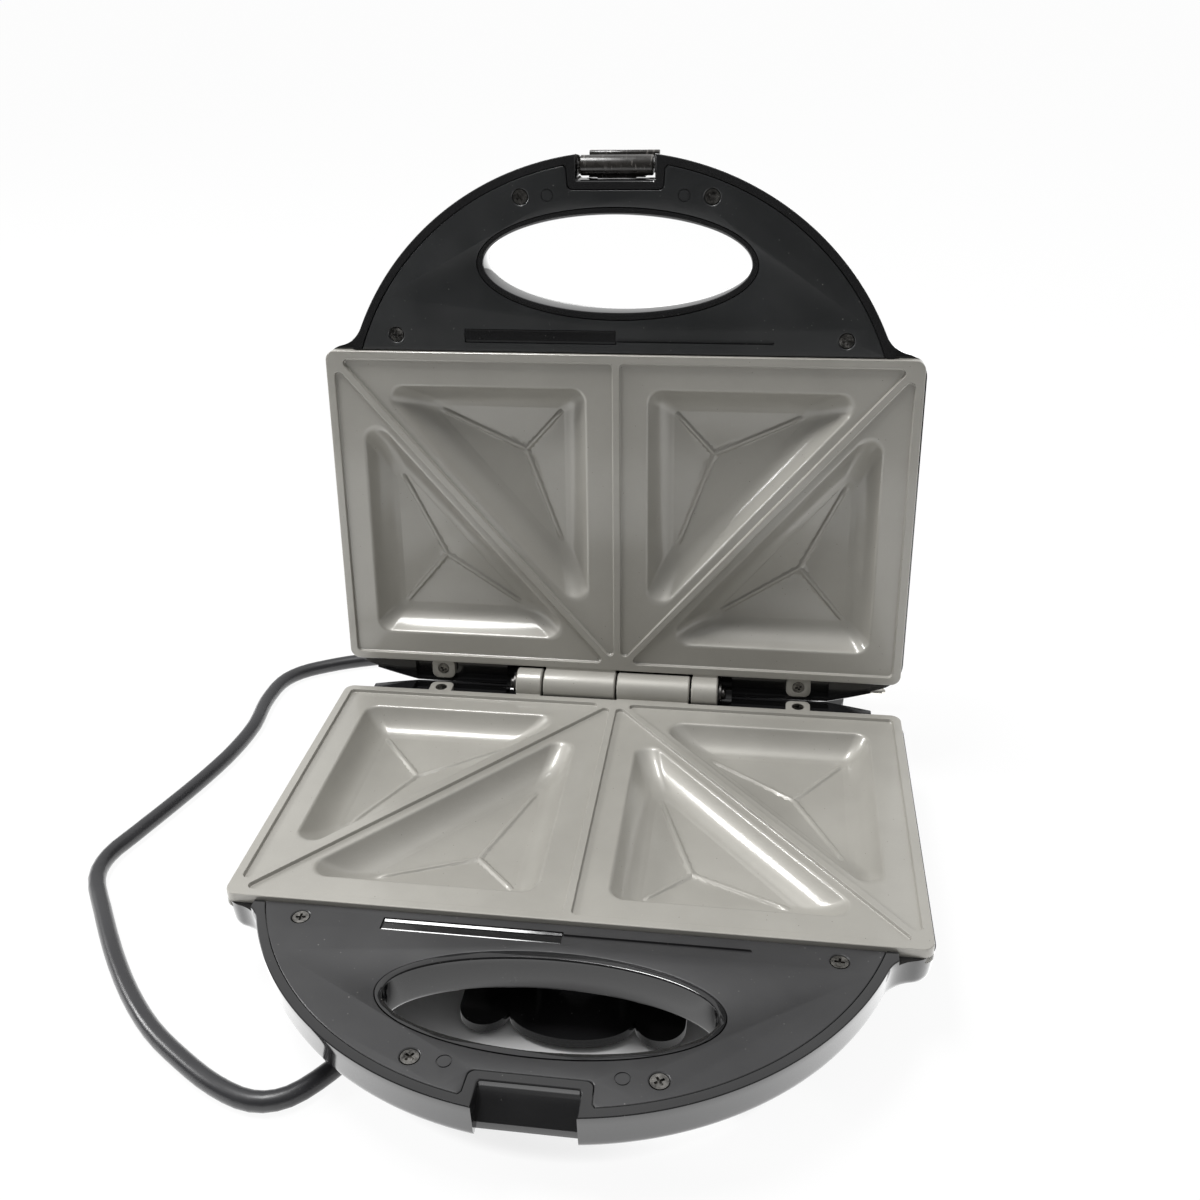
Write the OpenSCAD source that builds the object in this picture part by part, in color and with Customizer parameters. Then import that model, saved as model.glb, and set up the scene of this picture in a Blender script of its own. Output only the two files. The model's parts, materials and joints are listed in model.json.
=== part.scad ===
// Sandwich toaster: two hinged halves with cast cooking plates, a ring handle and a latch.
// Each half is drawn below the hinge axis, opening upwards; the lid is the same half turned over.
// The lid stands open, leaning a little past upright.

/* [Body] */
// Width of the casing across its rim
body_w = 227; // [215:1:250]
// Distance from the plate's front edge to the front edge of the casing
body_front = 1.8; // [1.2:0.1:20]
// Height of the hinge axis above the table
hinge_h = 37; // [36:0.5:45]
// Depth of the casing's shallow outer part below the hinge axis
tray_depth = 15.5; // [14:0.5:18]
// How far the outer wall leans in over its depth
wall_lean = 3.2; // [2:0.1:4]
// Wall thickness of the casing
wall = 2.6; // [2:0.1:3]
// How far the back edge bows out behind the hinge axis
back_bow = 12.5; // [10:0.5:15]
// Radius of the bowed back edge
bow_r = 357; // [300:1:450]
// Height of the lid's domed top above the hinge axis
dome_h = 34; // [32:0.5:40]

/* [Handle] */
// Radius of the handle's outer edge
handle_r = 107; // [104:0.5:112]
// Distance from the plate's front edge to the front of the handle
handle_front = 72.7; // [70:0.1:78]
// Width of the rim strip around the handle cover
strip = 3.2; // [2.4:0.1:4]
// Radius of the hollow corner between the casing and the handle
hollow_r = 12; // [8:0.5:16]
// Half the width of the finger hole
grip_a = 49.1; // [44:0.1:54]
// Half the depth of the finger hole
grip_b = 17.6; // [15:0.1:19]
// Distance from the plate's front edge to the middle of the finger hole
grip_y = 33.1; // [31:0.1:35]
// Wall around the finger hole
grip_wall = 2.2; // [1.6:0.1:3]
// Thickness of the handle cover
cover_t = 2.4; // [2:0.1:3]

/* [Cooking plate] */
// Distance from the casing's side to the side of the cooking plate
plate_in = 1; // [0.8:0.1:4]
// Depth of the cooking plate from back to front
plate_d = 130.6; // [126:0.1:134]
// Distance from the hinge axis to the back edge of the plate
plate_back = 7.2; // [7:0.1:9]
// Radius of the plate's corners
plate_r = 4; // [3:0.5:7]
// Width of the raised rim
rim_w = 3; // [2:0.1:4]
// Height of the rim above the flat of the plate
rim_h = 1.4; // [1:0.1:2]
// Thickness of the casting
cast_t = 2.2; // [1.8:0.1:2.6]
// Depth of the pockets at their walls
pocket_d = 8.6; // [7:0.1:9]
// Further depth of the pocket floor at its lowest point
pocket_dip = 2.2; // [1:0.1:2.6]
// Flat margin between the rim and the pockets
margin = 8.6; // [7:0.1:11]
// Gap between the two plates when closed
plate_gap = 2; // [1.6:0.1:3]

/* [Hinge] */
// Diameter of the hinge knuckles
knuckle_d = 13; // [12:0.1:13.4]
// Length of the knuckle at the end of the hinge
knuckle_end = 10.9; // [9:0.1:12]
// Length of the knuckle in the middle of the hinge
knuckle_mid = 29.3; // [26:0.1:32]
// Gap between neighbouring knuckles
knuckle_gap = 0.8; // [0.5:0.1:1.2]
// Diameter of the hinge pin
pin_d = 4.5; // [4:0.1:5]
// Running clearance around the pins, on the radius
pin_fit = 0.06; // [0.03:0.01:0.1]
// Angle of the open lid from closed
open_angle = 93.6; // [90:0.1:100]

/* [Latch] */
// Width of the latch
latch_w = 26.4; // [22:0.1:27]
// Width of the notch in the handle's front
notch_w = 28.4; // [28:0.1:32]
// Distance from the plate's front edge to the back wall of the notch
notch_back = 62.6; // [61.5:0.1:63]
// Distance from the plate's front edge to the latch pin
latch_y = 67.4; // [67.2:0.1:67.8]
// Height of the latch pin above the hinge axis when the lid is shut
latch_z = 8.6; // [8:0.1:9]
// Diameter of the latch pin
latch_pin_d = 2.6; // [2:0.1:3]
// Thickness of the latch lever
lever_t = 3; // [2.4:0.1:3.2]

/* [Fixings and feet] */
// Diameter of the screw heads
head_d = 5.3; // [5:0.1:7]
// Diameter of the screw shanks
shank_d = 2.9; // [2.4:0.1:3.2]
// Diameter of the rubber feet
foot_d = 15; // [12:0.5:18]
// Height of the rubber feet
foot_h = 3; // [2.5:0.1:4]

/* [Heating] */
// Diameter of the heating element's tube
tube_d = 6.4; // [5.5:0.1:7]
// Distance between the element's long legs
element_w = 124; // [112:1:128]
// Distance from the plate's front edge back to the element's front run
element_front = 25.8; // [23.8:0.1:31.8]
// Thickness of the reflector sheet
sheet_t = 0.6; // [0.4:0.1:1]

/* [Cord] */
// Diameter of the power cord
cord_d = 6.3; // [5.5:0.1:7]
// Length of the strain relief outside the casing
relief_len = 30; // [26:1:36]
// Diameter of the plug's round body
plug_d = 36; // [34:0.5:39]

/* [Hidden] */

eps = 0.05;
gap = 0.3;
rim_z = -plate_gap / 2;
land_z = rim_z - rim_h;
face_z = land_z;
seat_z = face_z - cover_t;
plate_front = plate_back + plate_d;
plate_w = body_w - 2 * plate_in;
body_end = plate_front + body_front;
handle_end = plate_front + handle_front;
grip_mid = plate_front + grip_y;
notch_end = plate_front + notch_back;
latch_at = plate_front + latch_y;
element_end = plate_front - element_front;
edge_z = land_z - cast_t + 0.4;
floor_z = land_z - pocket_d;
tray_z = -tray_depth;
belly_z = foot_h - hinge_h;
cleat_z = belly_z - 0.6;
cleat_x = 2.5;
half_w = body_w / 2;
handle_cy = handle_r - handle_end;
grip_out_a = grip_a + grip_wall;
grip_out_b = grip_b + grip_wall + 0.3;
bevel = open_angle / 2;
deck_z = face_z - 2.4;
deck_w = 85;
deck_y = 0.8;
side_x = half_w - 12;
lens_y = -88;
trough_r = knuckle_d / 2 + 0.6;
hinge_half = knuckle_end + knuckle_mid + knuckle_gap;

// Corner circles of the casing's outline: back corner, front corner and the hollow by the handle
back_r = 12;
front_r = 9;
back_cx = half_w - back_r;
back_cy = back_bow - bow_r + sqrt(pow(bow_r - back_r, 2) - pow(back_cx, 2));
back_a = atan2(back_cx, back_cy - back_bow + bow_r);
front_c = [half_w - front_r, front_r - body_end];
hollow_c = circles_meet([0, handle_cy], handle_r + hollow_r, front_c, front_r + hollow_r);
hollow_a = atan2(hollow_c[1] - handle_cy, hollow_c[0]);
turn_a = atan2(hollow_c[1] - front_c[1], hollow_c[0] - front_c[0]);

// Screw places on a half: two near the casing, two near the latch
cover_holes = [[-83.9, -plate_front - 6.3], [83.9, -plate_front - 6.3], [-34.5, 5.6 - notch_end],
    [34.5, 5.6 - notch_end]];
strip_y = -(plate_front + grip_mid - grip_out_b) / 2;
ear_x = 73;
ear_y = -3.8;
ear_w = 9.6;
lug_x = 58;
lug_y = -plate_front - 2.6;
post_x = 30;
bar_ys = [22 - element_end, -50];
post_r = 3.2;
element_z = floor_z - pocket_dip - cast_t - tube_d / 2 - 0.2;
bar_z = element_z - tube_d / 2;
bar_t = 1.2;
sheet_z = bar_z - bar_t - 2.2;
sheet_x = element_w / 2 + 4;
sheet_front = 4 - element_end;
sheet_back = -34;
prop_r = 3;
prop_x = 36;
prop_in = 22;
bend_r = 16;

// Pockets: right corner, the two sharp corners and the lowest point of the floor, on the +X side
rib_half = 1.1;
rib_end = [half_plate() - rim_w, rim_w - plate_front];
rib_start = [2.5, -plate_back - rim_w];
rib_side = 5;
in_x = 12;
in_y = -plate_front + rim_w + margin + 2.2;
out_x = half_plate() - rim_w - margin - 1.5;
out_y = -plate_back - rim_w - margin - 1;
pocket_in = [[in_x, in_y], [rib_x(in_y, -rib_side), in_y], [in_x, rib_y(in_x, -rib_side)]];
pocket_out = [[out_x, out_y], [rib_x(out_y, rib_side), out_y], [out_x, rib_y(out_x, rib_side)]];
room_in = [[rib_half, rib_end[1]], [rib_x(rib_end[1], -rib_half), rib_end[1]],
    [rib_half, rib_y(rib_half, -rib_half)]];
room_out = [[rib_end[0], rib_start[1]], [rib_x(rib_start[1], rib_half), rib_start[1]],
    [rib_end[0], rib_y(rib_end[0], rib_half)]];
dip_in = [in_x + 25, in_y + 27];
dip_out = [out_x - 27.9, out_y - 31.2];

// Latch: the lever lies along the lid's depth at rest and hooks under the lip when shut
lip_y = latch_at + 0.9;
lip_z = -14.5;
hook_t = 3.4;
lever_gap = 0.3;
lever_low = 2 * -latch_at + lip_y + lever_gap;
lever_end = 2 * latch_z - lip_z + lever_gap + hook_t;
hub_r = 3.6;

// Row frame: middle of the whole toaster's outline on the table
hook_y = lever_low - lip_y + notch_end + 1;
back_reach = cos(open_angle) * hook_y + sin(open_angle) * lever_end;
hinge_y = (handle_end - back_reach) / 2;

// Power cord: exit in the belly's back wall, then the points of its middle line
exit_x = -50;
exit_z = 14.5;
relief_y = 6.5;
cord_path = [[-50, 36.5, 14.5], [-50.5, 49, 13], [-53.5, 61, 9.5], [-62, 71.5, 5.6], [-75, 76.5, 3.4],
    [-92, 77, 3.2], [-112, 74, 3.2], [-133, 67.5, 3.2], [-147, 61, 3.2], [-158, 53.5, 3.2],
    [-164, 43, 3.2], [-165, 26, 3.2], [-163, 7, 3.2], [-164.5, -13, 3.2], [-168.5, -32, 3.2],
    [-174.5, -53, 3.2], [-180.5, -72, 3.2], [-184.5, -86, 3.2], [-182.5, -99, 3.2],
    [-172, -115, 3.2], [-158, -134.5, 3.2], [-143.5, -152, 3.2], [-129, -166, 3.2],
    [-114, -176.5, 3.2], [-100, -184.5, 3.2], [-87, -188.5, 3.2], [-76.5, -185.5, 3.2],
    [-67.5, -175, 3.2], [-61.5, -163, 3.2], [-60, -151.5, 3.2], [-63, -141, 3.2], [-70, -130, 3.2],
    [-80, -118, 3.2], [-89, -105, 3.2], [-94, -90, 3.2], [-95.5, -68, 3.2], [-95.5, -40, 3.2],
    [-94, -14, 3.2], [-87, 6, 3.2], [-74, 21, 3.2], [-56, 30, 3.2], [-38, 36.5, 3.6],
    [-20, 43.5, 6], [-3, 50, 10], [12, 54, 14], [26, 55.5, 17], [36, 55.6, 18]];
plug_tail = 24;
plug_body_len = 34;
pin_len = 19;

function half_plate() = plate_w / 2;
function unit(v) = v / norm(v);
function rib_x(y, off) = rib_end[0] + (off - rib_nrm_y() * (y - rib_end[1])) / rib_nrm_x();
function rib_y(x, off) = rib_end[1] + (off - rib_nrm_x() * (x - rib_end[0])) / rib_nrm_y();
function rib_nrm_x() = unit(rib_start - rib_end)[1];
function rib_nrm_y() = -unit(rib_start - rib_end)[0];
function arc(c, r, a, b, n) =
    [for (i = [0:n]) c + r * [cos(a + (b - a) * i / n), sin(a + (b - a) * i / n)]];
function circles_meet(p, rp, q, rq) =
    let (d = norm(q - p), along = (rp * rp - rq * rq + d * d) / (2 * d))
    let (up = sqrt(rp * rp - along * along), u = (q - p) / d)
    p + along * u + up * [u[1], -u[0]];
function flip(points) = [for (i = [len(points) - 1:-1:0]) [-points[i][0], points[i][1]]];

// The casing's outline, moved inwards by s
function half_outline(s) = concat(
    arc([0, handle_cy], handle_r - s, 270, 360 + hollow_a, 11),
    arc(hollow_c, hollow_r + s, 180 + hollow_a, 180 + turn_a, 4),
    arc(front_c, max(front_r - s, 0.4), turn_a, 0, 4),
    arc([back_cx, back_cy], max(back_r - s, 0.4), 0, 90 - back_a, 4),
    arc([0, back_bow - bow_r], bow_r - s, 90 - back_a, 90, 5));
function outline(s) = let (h = half_outline(s), m = flip(h))
    concat(h, [for (i = [1:len(m) - 2]) m[i]]);
function round_box(hx, y0, y1, r, n) = concat(
    arc([hx - r, y0 + r], r, -90, 0, n), arc([hx - r, y1 - r], r, 0, 90, n),
    arc([r - hx, y1 - r], r, 90, 180, n), arc([r - hx, y0 + r], r, 180, 270, n));
function lift(ring, z) = [for (p = ring) [p[0], p[1], z]];
function ellipse(a, b, n) = [for (i = [0:n - 1]) [a * cos(360 * i / n), b * sin(360 * i / n)]];

// A rounded triangle: corners v, moved inwards by s, with corner radius r
function inradius(v) =
    let (a = norm(v[1] - v[2]), b = norm(v[2] - v[0]), c = norm(v[0] - v[1]))
    let (h = (a + b + c) / 2) sqrt((h - a) * (h - b) * (h - c) / h);
function incentre(v) =
    let (a = norm(v[1] - v[2]), b = norm(v[2] - v[0]), c = norm(v[0] - v[1]))
    (a * v[0] + b * v[1] + c * v[2]) / (a + b + c);
function swing(a, b) = b < a ? b + 360 : b;
function tri_ring(v, s, r, n) = [for (i = [0:2])
    let (p = v[(i + 2) % 3], q = v[i], t = v[(i + 1) % 3])
    let (a = atan2(p[0] - q[0], q[1] - p[1]) + 0, b = atan2(q[0] - t[0], t[1] - q[1]))
    let (m = incentre(v), c = m + (q - m) * (1 - (s + r) / inradius(v)))
    each arc(c, r, a, swing(a, b), n)];

// A closed skin through rings of points, lowest ring first, each ring running anticlockwise
module loft(rings) {
    n = len(rings[0]);
    m = len(rings);
    sides = [for (k = [0:m - 2], i = [0:n - 1]) let (a = k * n + i, b = k * n + (i + 1) % n)
        each [[a, a + n, b + n], [a, b + n, b]]];
    polyhedron([for (ring = rings) each ring],
        concat([[for (i = [0:n - 1]) i]], sides, [[for (i = [n - 1:-1:0]) (m - 1) * n + i]]),
            convexity = 10);
}

module in_base() {
    translate([0, hinge_y, hinge_h]) children();
}

// Lid pieces are drawn as in the shut lid, above the hinge axis, then swung open
module in_lid() {
    translate([0, hinge_y, hinge_h]) rotate([-open_angle, 0, 0]) children();
}

module lid_half() {
    in_lid() mirror([0, 0, 1]) children();
}

module lid_turned() {
    in_lid() rotate([0, 180, 0]) children();
}

// A prism along X from a profile in Y and Z
module along_x(width, profile) {
    translate([-width / 2, 0, 0]) rotate([90, 0, 90]) linear_extrude(width) polygon(profile);
}

// A loft cut flat at its two ends, so that each end is one plane
module trimmed(rings) {
    n = len(rings) - 1;
    low = rings[0][0][2];
    high = rings[n][0][2];
    difference() {
        loft(concat([lift(rings[0], low - 1)], rings, [lift(rings[n], high + 1)]));
        translate([-half_w * 2, -handle_end * 2, low - 5]) cube([half_w * 4, handle_end * 4, 5]);
        translate([-half_w * 2, -handle_end * 2, high]) cube([half_w * 4, handle_end * 4, 5]);
    }
}

module tray(s) {
    top = s == 0 ? face_z : edge_z - gap + eps;
    trimmed([lift(outline(min(5 + s + wall_lean, front_r - 0.6)), tray_z + s),
        lift(outline(1.6 + s + wall_lean), tray_z + 0.9 + s), lift(outline(wall_lean + s),
            tray_z + 3.1 + s),
        lift(outline(s == 0 ? 0 : s + 1.5), top)]);
}

// The belly below the tray: how far in and how far down each ring lies, as shares of its depth
belly_in = [6, 12, 20, 28, 36, 44];
belly_down = [0, 0.286, 0.571, 0.786, 0.929, 1];
module belly(low, s) {
    top = tray_z + 2.5;
    trimmed([for (k = [5:-1:0]) let (in = belly_in[k] + s, back = 8.5 - 0.25 * belly_in[k] - s)
        lift(round_box(half_w - in, in - body_end, back, 26 - in / 7, 5),
            top + s + (low - top) * belly_down[k])]);
}

module back_block() {
    low = -trough_r - 2.6;
    drop = wall / cos(bevel);
    along_x(body_w, [[-9.2, 1], [-9.2, low], [(-low - drop) / tan(bevel), low],
        [(-tray_z - drop) / tan(bevel), tray_z], [20, tray_z], [20, 1]]);
}

module back_cuts() {
    slack = 0.17 / cos(bevel);
    far = 25;
    along_x(body_w + 2, [[(-face_z - slack) / tan(bevel), face_z], [far, -far * tan(bevel) - slack],
        [far, 2],
        [(-face_z - slack) / tan(bevel), 2]]);
    along_x(deck_w * 2, [[-plate_back - 1, deck_z], [deck_y, deck_z], [deck_y, 2], [-plate_back - 1, 2]]);
    translate([-hinge_half - 5.5, 0, 0]) rotate([0, 90, 0])
        cylinder(h = 2 * hinge_half + 11, r = trough_r, $fn = 64);
    translate([-hinge_half - 0.5, -plate_back - 2.5, 0.7 - trough_r])
        cube([2 * hinge_half + 1, plate_back + 2.5, 9]);
}

module plate_seat() {
    translate([0, 0, edge_z - gap]) linear_extrude(9)
        polygon(round_box(half_plate() + gap, -plate_front - gap, -plate_back + gap, plate_r + gap, 6));
    for (x = [side_x, -side_x - 20]) translate([x, -plate_front - 8, edge_z - 0.1])
        cube([20, plate_front + 28, 9]);
}

module cover_shape(s) {
    intersection() {
        translate([0, handle_cy]) circle(r = handle_r - strip - s, $fn = 120);
        translate([-half_w, -handle_end - 1]) square([body_w, handle_end + 1 - plate_front - gap - s]);
    }
}

module notch(w, back) {
    translate([-w / 2, -handle_end - 6, tray_z - 1]) cube([w, handle_end + 6 - back, 20 - tray_z]);
}

module pillar(p, r, low, high) {
    translate([p[0], p[1], low]) cylinder(h = high - low, r = r, $fn = 32);
}

// One half's casing: the outside less its hollow; the posts and walls that stand in the hollow are kept
module casing(low) {
    difference() {
        union() {
            tray(0);
            belly(low, 0);
        }
        difference() {
            union() {
                tray(wall);
                belly(low, wall);
            }
            back_block();
            translate([0, -grip_mid, tray_z - 1]) linear_extrude(20 - tray_z)
                polygon(ellipse(grip_out_a, grip_out_b, 56));
            notch(notch_w + 2 * strip, notch_end - strip);
            for (p = cover_holes) pillar(p, 3.4, tray_z + 1, 0);
            for (x = [-lug_x, lug_x]) pillar([x, lug_y], 3.4, tray_z + 1, edge_z - 3.2);
            for (x = [-ear_x, ear_x]) pillar([x, ear_y], 4.2, tray_z + 1, deck_z - 1);
            for (x = [-prop_x, prop_x], y = [sheet_front + prop_in, sheet_back - prop_in])
                pillar([x, y], prop_r, low + 1, sheet_z - sheet_t);
            children();
        }
        translate([0, 0, seat_z - 0.02]) linear_extrude(20) difference() {
            cover_shape(-0.25);
            translate([0, -grip_mid]) polygon(ellipse(grip_out_a, grip_out_b, 56));
            translate([-notch_w / 2 - strip, -handle_end - 6])
                square([notch_w + 2 * strip, handle_end + 6 - notch_end + strip]);
        }
        translate([0, -grip_mid, tray_z - 1]) linear_extrude(20 - tray_z)
            polygon(ellipse(grip_a, grip_b, 56));
        notch(notch_w, notch_end);
        plate_seat();
        back_cuts();
        for (p = cover_holes) pillar(p, shank_d / 2 + eps, tray_z + 4.4, seat_z + 1);
        for (x = [-ear_x, ear_x]) pillar([x, ear_y], shank_d / 2 + eps, deck_z - 7, deck_z + 1);
    }
}

module cleat() {
    translate([cleat_x, 0, cleat_z]) linear_extrude(3) {
        for (x = [-28, 28]) translate([x, -body_end - 5.7]) circle(r = 8, $fn = 48);
        translate([0, -body_end - 5.9]) scale([20, 10.5]) circle(r = 1, $fn = 72);
        translate([-36, -body_end - 5.7]) square([72, 22]);
        translate([-22, 14.6 - body_end]) square([44, 25]);
    }
    translate([cleat_x, 17.6 - body_end, cleat_z + 1]) cylinder(h = tray_z - cleat_z, r = 17, $fn = 64);
}

module foot_places() {
    for (x = [-56, 56], y = [55.6 - body_end, -14]) translate([x, y, 0]) children();
}

module lower_shell() {
    color([0.05, 0.05, 0.055]) in_base() difference() {
        union() {
            casing(belly_z) for (x = [-9, 9])
                pillar([exit_x + x, -19], 3, belly_z + 1, exit_z - hinge_h - 3.4);
            difference() {
                cleat();
                belly(belly_z, wall / 2);
            }
            along_x(notch_w + 1, [[0.4 - notch_end, face_z - 2], [-lip_y, -12.2], [-lip_y, lip_z],
                [0.4 - notch_end, lip_z]]);
        }
        foot_places() translate([0, 0, belly_z - 1]) cylinder(h = wall + 2, r = 2.55, $fn = 32);
        translate([exit_x, relief_y - wall - 8, exit_z - hinge_h]) rotate([-90, 0, 0])
            cylinder(h = wall + 12, r = 5.05, $fn = 48);
        for (x = [-9, 9]) pillar([exit_x + x, -19], 1.3, belly_z + wall, 0);
    }
}

module upper_shell() {
    color([0.05, 0.05, 0.055]) lid_half() difference() {
        casing(-dome_h) {
            for (x = [-1, 1]) translate([x * (notch_w / 2 + 2.2), -latch_at, -latch_z]) rotate([0, 90, 0])
                cylinder(h = 4.4, r = 2.7, center = true, $fn = 48);
            for (x = [-14, 14]) pillar([x, lens_y], 6.2, -dome_h + 1, -dome_h + 5);
        }
        translate([0, -latch_at, -latch_z]) rotate([0, 90, 0])
            cylinder(h = notch_w + 7, r = latch_pin_d / 2, center = true, $fn = 48);
        for (x = [-14, 14]) pillar([x, lens_y], 3.1, -dome_h - 1, -dome_h + 6);
    }
}

// Handle cover: a flat D with the finger hole, the latch notch and a tongue-and-groove strip
module handle_cover() {
    half = notch_w / 2 + strip + gap;
    difference() {
        translate([0, 0, seat_z]) linear_extrude(cover_t) difference() {
            cover_shape(0);
            translate([0, -grip_mid]) polygon(ellipse(grip_out_a + 0.3, grip_out_b + 0.3, 56));
            translate([0, -notch_end + strip + 0.4]) polygon([[1.8 - half, 0], [-half, -1.8], [-half, -20],
                [half, -20], [half, -1.8], [half - 1.8, 0]]);
        }
        for (p = cover_holes) pillar(p, shank_d / 2 + 0.3, seat_z - 1, face_z + 1);
        for (p = cover_holes) pillar(p, head_d / 2 + 0.3, seat_z + 0.9, face_z + 1);
        translate([-58.5, strip_y - 1.7, face_z - 1]) cube([59, 3.4, 2]);
        translate([0, strip_y + 0.4, face_z - 0.8]) cube([57.5, 1.6, 2]);
        pillar([57.5, strip_y + 1.2], 1.5, face_z - 0.8, face_z + 1);
    }
}

module lower_handle_cover() {
    color([0.16, 0.16, 0.16]) in_base() handle_cover();
}

module upper_handle_cover() {
    color([0.1, 0.105, 0.11]) lid_half() handle_cover();
}

// A cross-headed screw, its head's seat at z = 0
module screw(len, head) {
    difference() {
        union() {
            translate([0, 0, -len]) cylinder(h = len + 0.4, r = shank_d / 2, $fn = 32);
            cylinder(h = 1.3, r = head / 2, $fn = 40);
        }
        for (a = [0, 90]) rotate([0, 0, a]) translate([-head * 0.3, -0.4, 0.5]) cube([head * 0.6, 0.8, 2]);
    }
}

module cover_screws() {
    for (p = cover_holes) translate([p[0], p[1], seat_z + 0.9]) rotate([0, 0, p[0]]) screw(6.5, head_d);
}

module plate_screws() {
    for (x = [-ear_x, ear_x]) translate([x, ear_y, deck_z + 1.7]) rotate([0, 0, x]) screw(7, head_d - 0.9);
}

module lower_cover_screws() {
    color([0.2, 0.19, 0.18]) in_base() cover_screws();
}

module upper_cover_screws() {
    color([0.2, 0.19, 0.18]) lid_half() cover_screws();
}

module lower_plate_screws() {
    color([0.2, 0.19, 0.18]) in_base() plate_screws();
}

module upper_plate_screws() {
    color([0.2, 0.19, 0.18]) lid_half() plate_screws();
}

// A pocket's hollow, or with grow > 0 the bulge of the casting under it
module pocket(v, dip, grow) {
    steps = grow > 0
        ? [[8.6 - grow, floor_z - grow + 0.4], [6 - grow, floor_z + 0.8 - grow], [-grow, land_z - 0.6]]
        : [[8.4, floor_z], [6, floor_z + 1.1], [0.3, land_z - 1.2], [-0.6, land_z - 0.3],
            [-1.5, land_z + 0.1], [-1.5, rim_z + 4]];
    rings = [for (k = steps) lift(tri_ring(v, k[0], 5.4 - k[0] * 0.3, 4), k[1])];
    n = len(rings[0]);
    low = [dip[0], dip[1], floor_z - pocket_dip - grow];
    top = len(rings) * n;
    polyhedron(concat([for (ring = rings) each ring], [low]),
        concat([for (i = [0:n - 1]) [top, i, (i + 1) % n]],
            [for (k = [0:len(rings) - 2], i = [0:n - 1]) let (a = k * n + i, b = k * n + (i + 1) % n)
                each [[a, a + n, b + n], [a, b + n, b]]],
            [[for (i = [n - 1:-1:0]) (len(rings) - 1) * n + i]]), convexity = 6);
}

module pockets(grow) {
    pocket(pocket_in, dip_in, grow);
    pocket([pocket_out[0], pocket_out[1], pocket_out[2]], dip_out, grow);
    mirror([1, 0, 0]) {
        pocket(pocket_in, dip_in, grow);
        pocket([pocket_out[0], pocket_out[1], pocket_out[2]], dip_out, grow);
    }
}

// The four compartments between the plate's rim and its ribs, down to the flat of the plate
module rooms() {
    translate([0, 0, land_z]) linear_extrude(5) for (m = [0, 1]) mirror([m, 0, 0]) {
        polygon(tri_ring(room_in, 0, 2, 5));
        polygon(tri_ring(room_out, 0, 2, 5));
    }
}

module knuckle(x0, x1) {
    translate([x0, 0, 0]) {
        rotate([0, 90, 0]) cylinder(h = x1 - x0, r = knuckle_d / 2, $fn = 72);
        translate([0, -plate_back - 1.5, -knuckle_d / 2 + 0.9])
            cube([x1 - x0, plate_back + 1.5, knuckle_d / 2 - 2.1]);
    }
}

// The cast cooking plate, the same casting in both halves
module plate() {
    difference() {
        union() {
            difference() {
                translate([0, 0, edge_z]) linear_extrude(rim_z - edge_z)
                    polygon(round_box(half_plate(), -plate_front, -plate_back, plate_r, 6));
                rooms();
            }
            pockets(cast_t);
            for (x = [-ear_x, ear_x]) translate([x, 0, deck_z + 0.1]) linear_extrude(rim_z - 0.8 - deck_z)
                polygon(round_box(ear_w / 2, -plate_back - 1, deck_y - 0.3, 2.6, 5));
            for (x = [-lug_x, lug_x]) {
                translate([x - 5, -plate_front, edge_z - 3.1]) cube([10, 2, 3.2]);
                translate([x - 5, lug_y - 3, edge_z - 3.1]) cube([10, 6, 1.6]);
            }
            for (x = [-post_x, post_x], y = bar_ys) pillar([x, y], post_r, bar_z + 0.1, land_z - 1);
            knuckle(-hinge_half, -hinge_half + knuckle_end - knuckle_gap / 2);
            knuckle(knuckle_gap / 2, knuckle_mid + knuckle_gap / 2);
        }
        pockets(0);
        translate([-hinge_half - 1, 0, 0]) rotate([0, 90, 0])
            cylinder(h = 2 * hinge_half + 2, r = pin_d / 2 + pin_fit, $fn = 72);
        for (x = [-ear_x, ear_x]) {
            pillar([x, ear_y], shank_d / 2 + 0.3, deck_z - 1, 2);
            pillar([x, ear_y], head_d / 2 - 0.2, deck_z + 1.7, 2);
        }
        for (x = [-post_x, post_x], y = bar_ys) pillar([x, y], shank_d / 2 + eps, bar_z, bar_z + 6);
    }
}

module lower_plate() {
    color([0.5, 0.49, 0.46]) in_base() plate();
}

module upper_plate() {
    color([0.46, 0.455, 0.44]) lid_turned() plate();
}

// Heating element: a bent tube with its ends turned in towards the middle of the back
module bend(c, a) {
    translate([c[0], c[1], element_z]) rotate([0, 0, a]) rotate_extrude(angle = 90, $fn = 64)
        translate([bend_r, 0]) circle(r = tube_d / 2, $fn = 32);
}

module run(p, axis, len) {
    translate([p[0], p[1], element_z]) rotate(axis) cylinder(h = len, r = tube_d / 2, $fn = 32);
}

module element() {
    ex = element_w / 2;
    back = -26;
    front = -element_end;
    for (x = [-1, 1]) {
        run([x * ex, front + bend_r], [-90, 0, 0], back - front - 2 * bend_r);
        run([x * 18, back], [0, x * 90, 0], ex - bend_r - 18);
        translate([x * 10, back, element_z]) rotate([0, x * 90, 0]) cylinder(h = 9, r = 1.5, $fn = 24);
        translate([x * 15, back, element_z]) rotate([0, x * 90, 0])
            cylinder(h = 5, r = tube_d / 2 + 0.8, $fn = 32);
    }
    run([-ex + bend_r, front], [0, 90, 0], 2 * (ex - bend_r));
    bend([ex - bend_r, back - bend_r], 0);
    bend([bend_r - ex, back - bend_r], 90);
    bend([bend_r - ex, front + bend_r], 180);
    bend([ex - bend_r, front + bend_r], 270);
}

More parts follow.
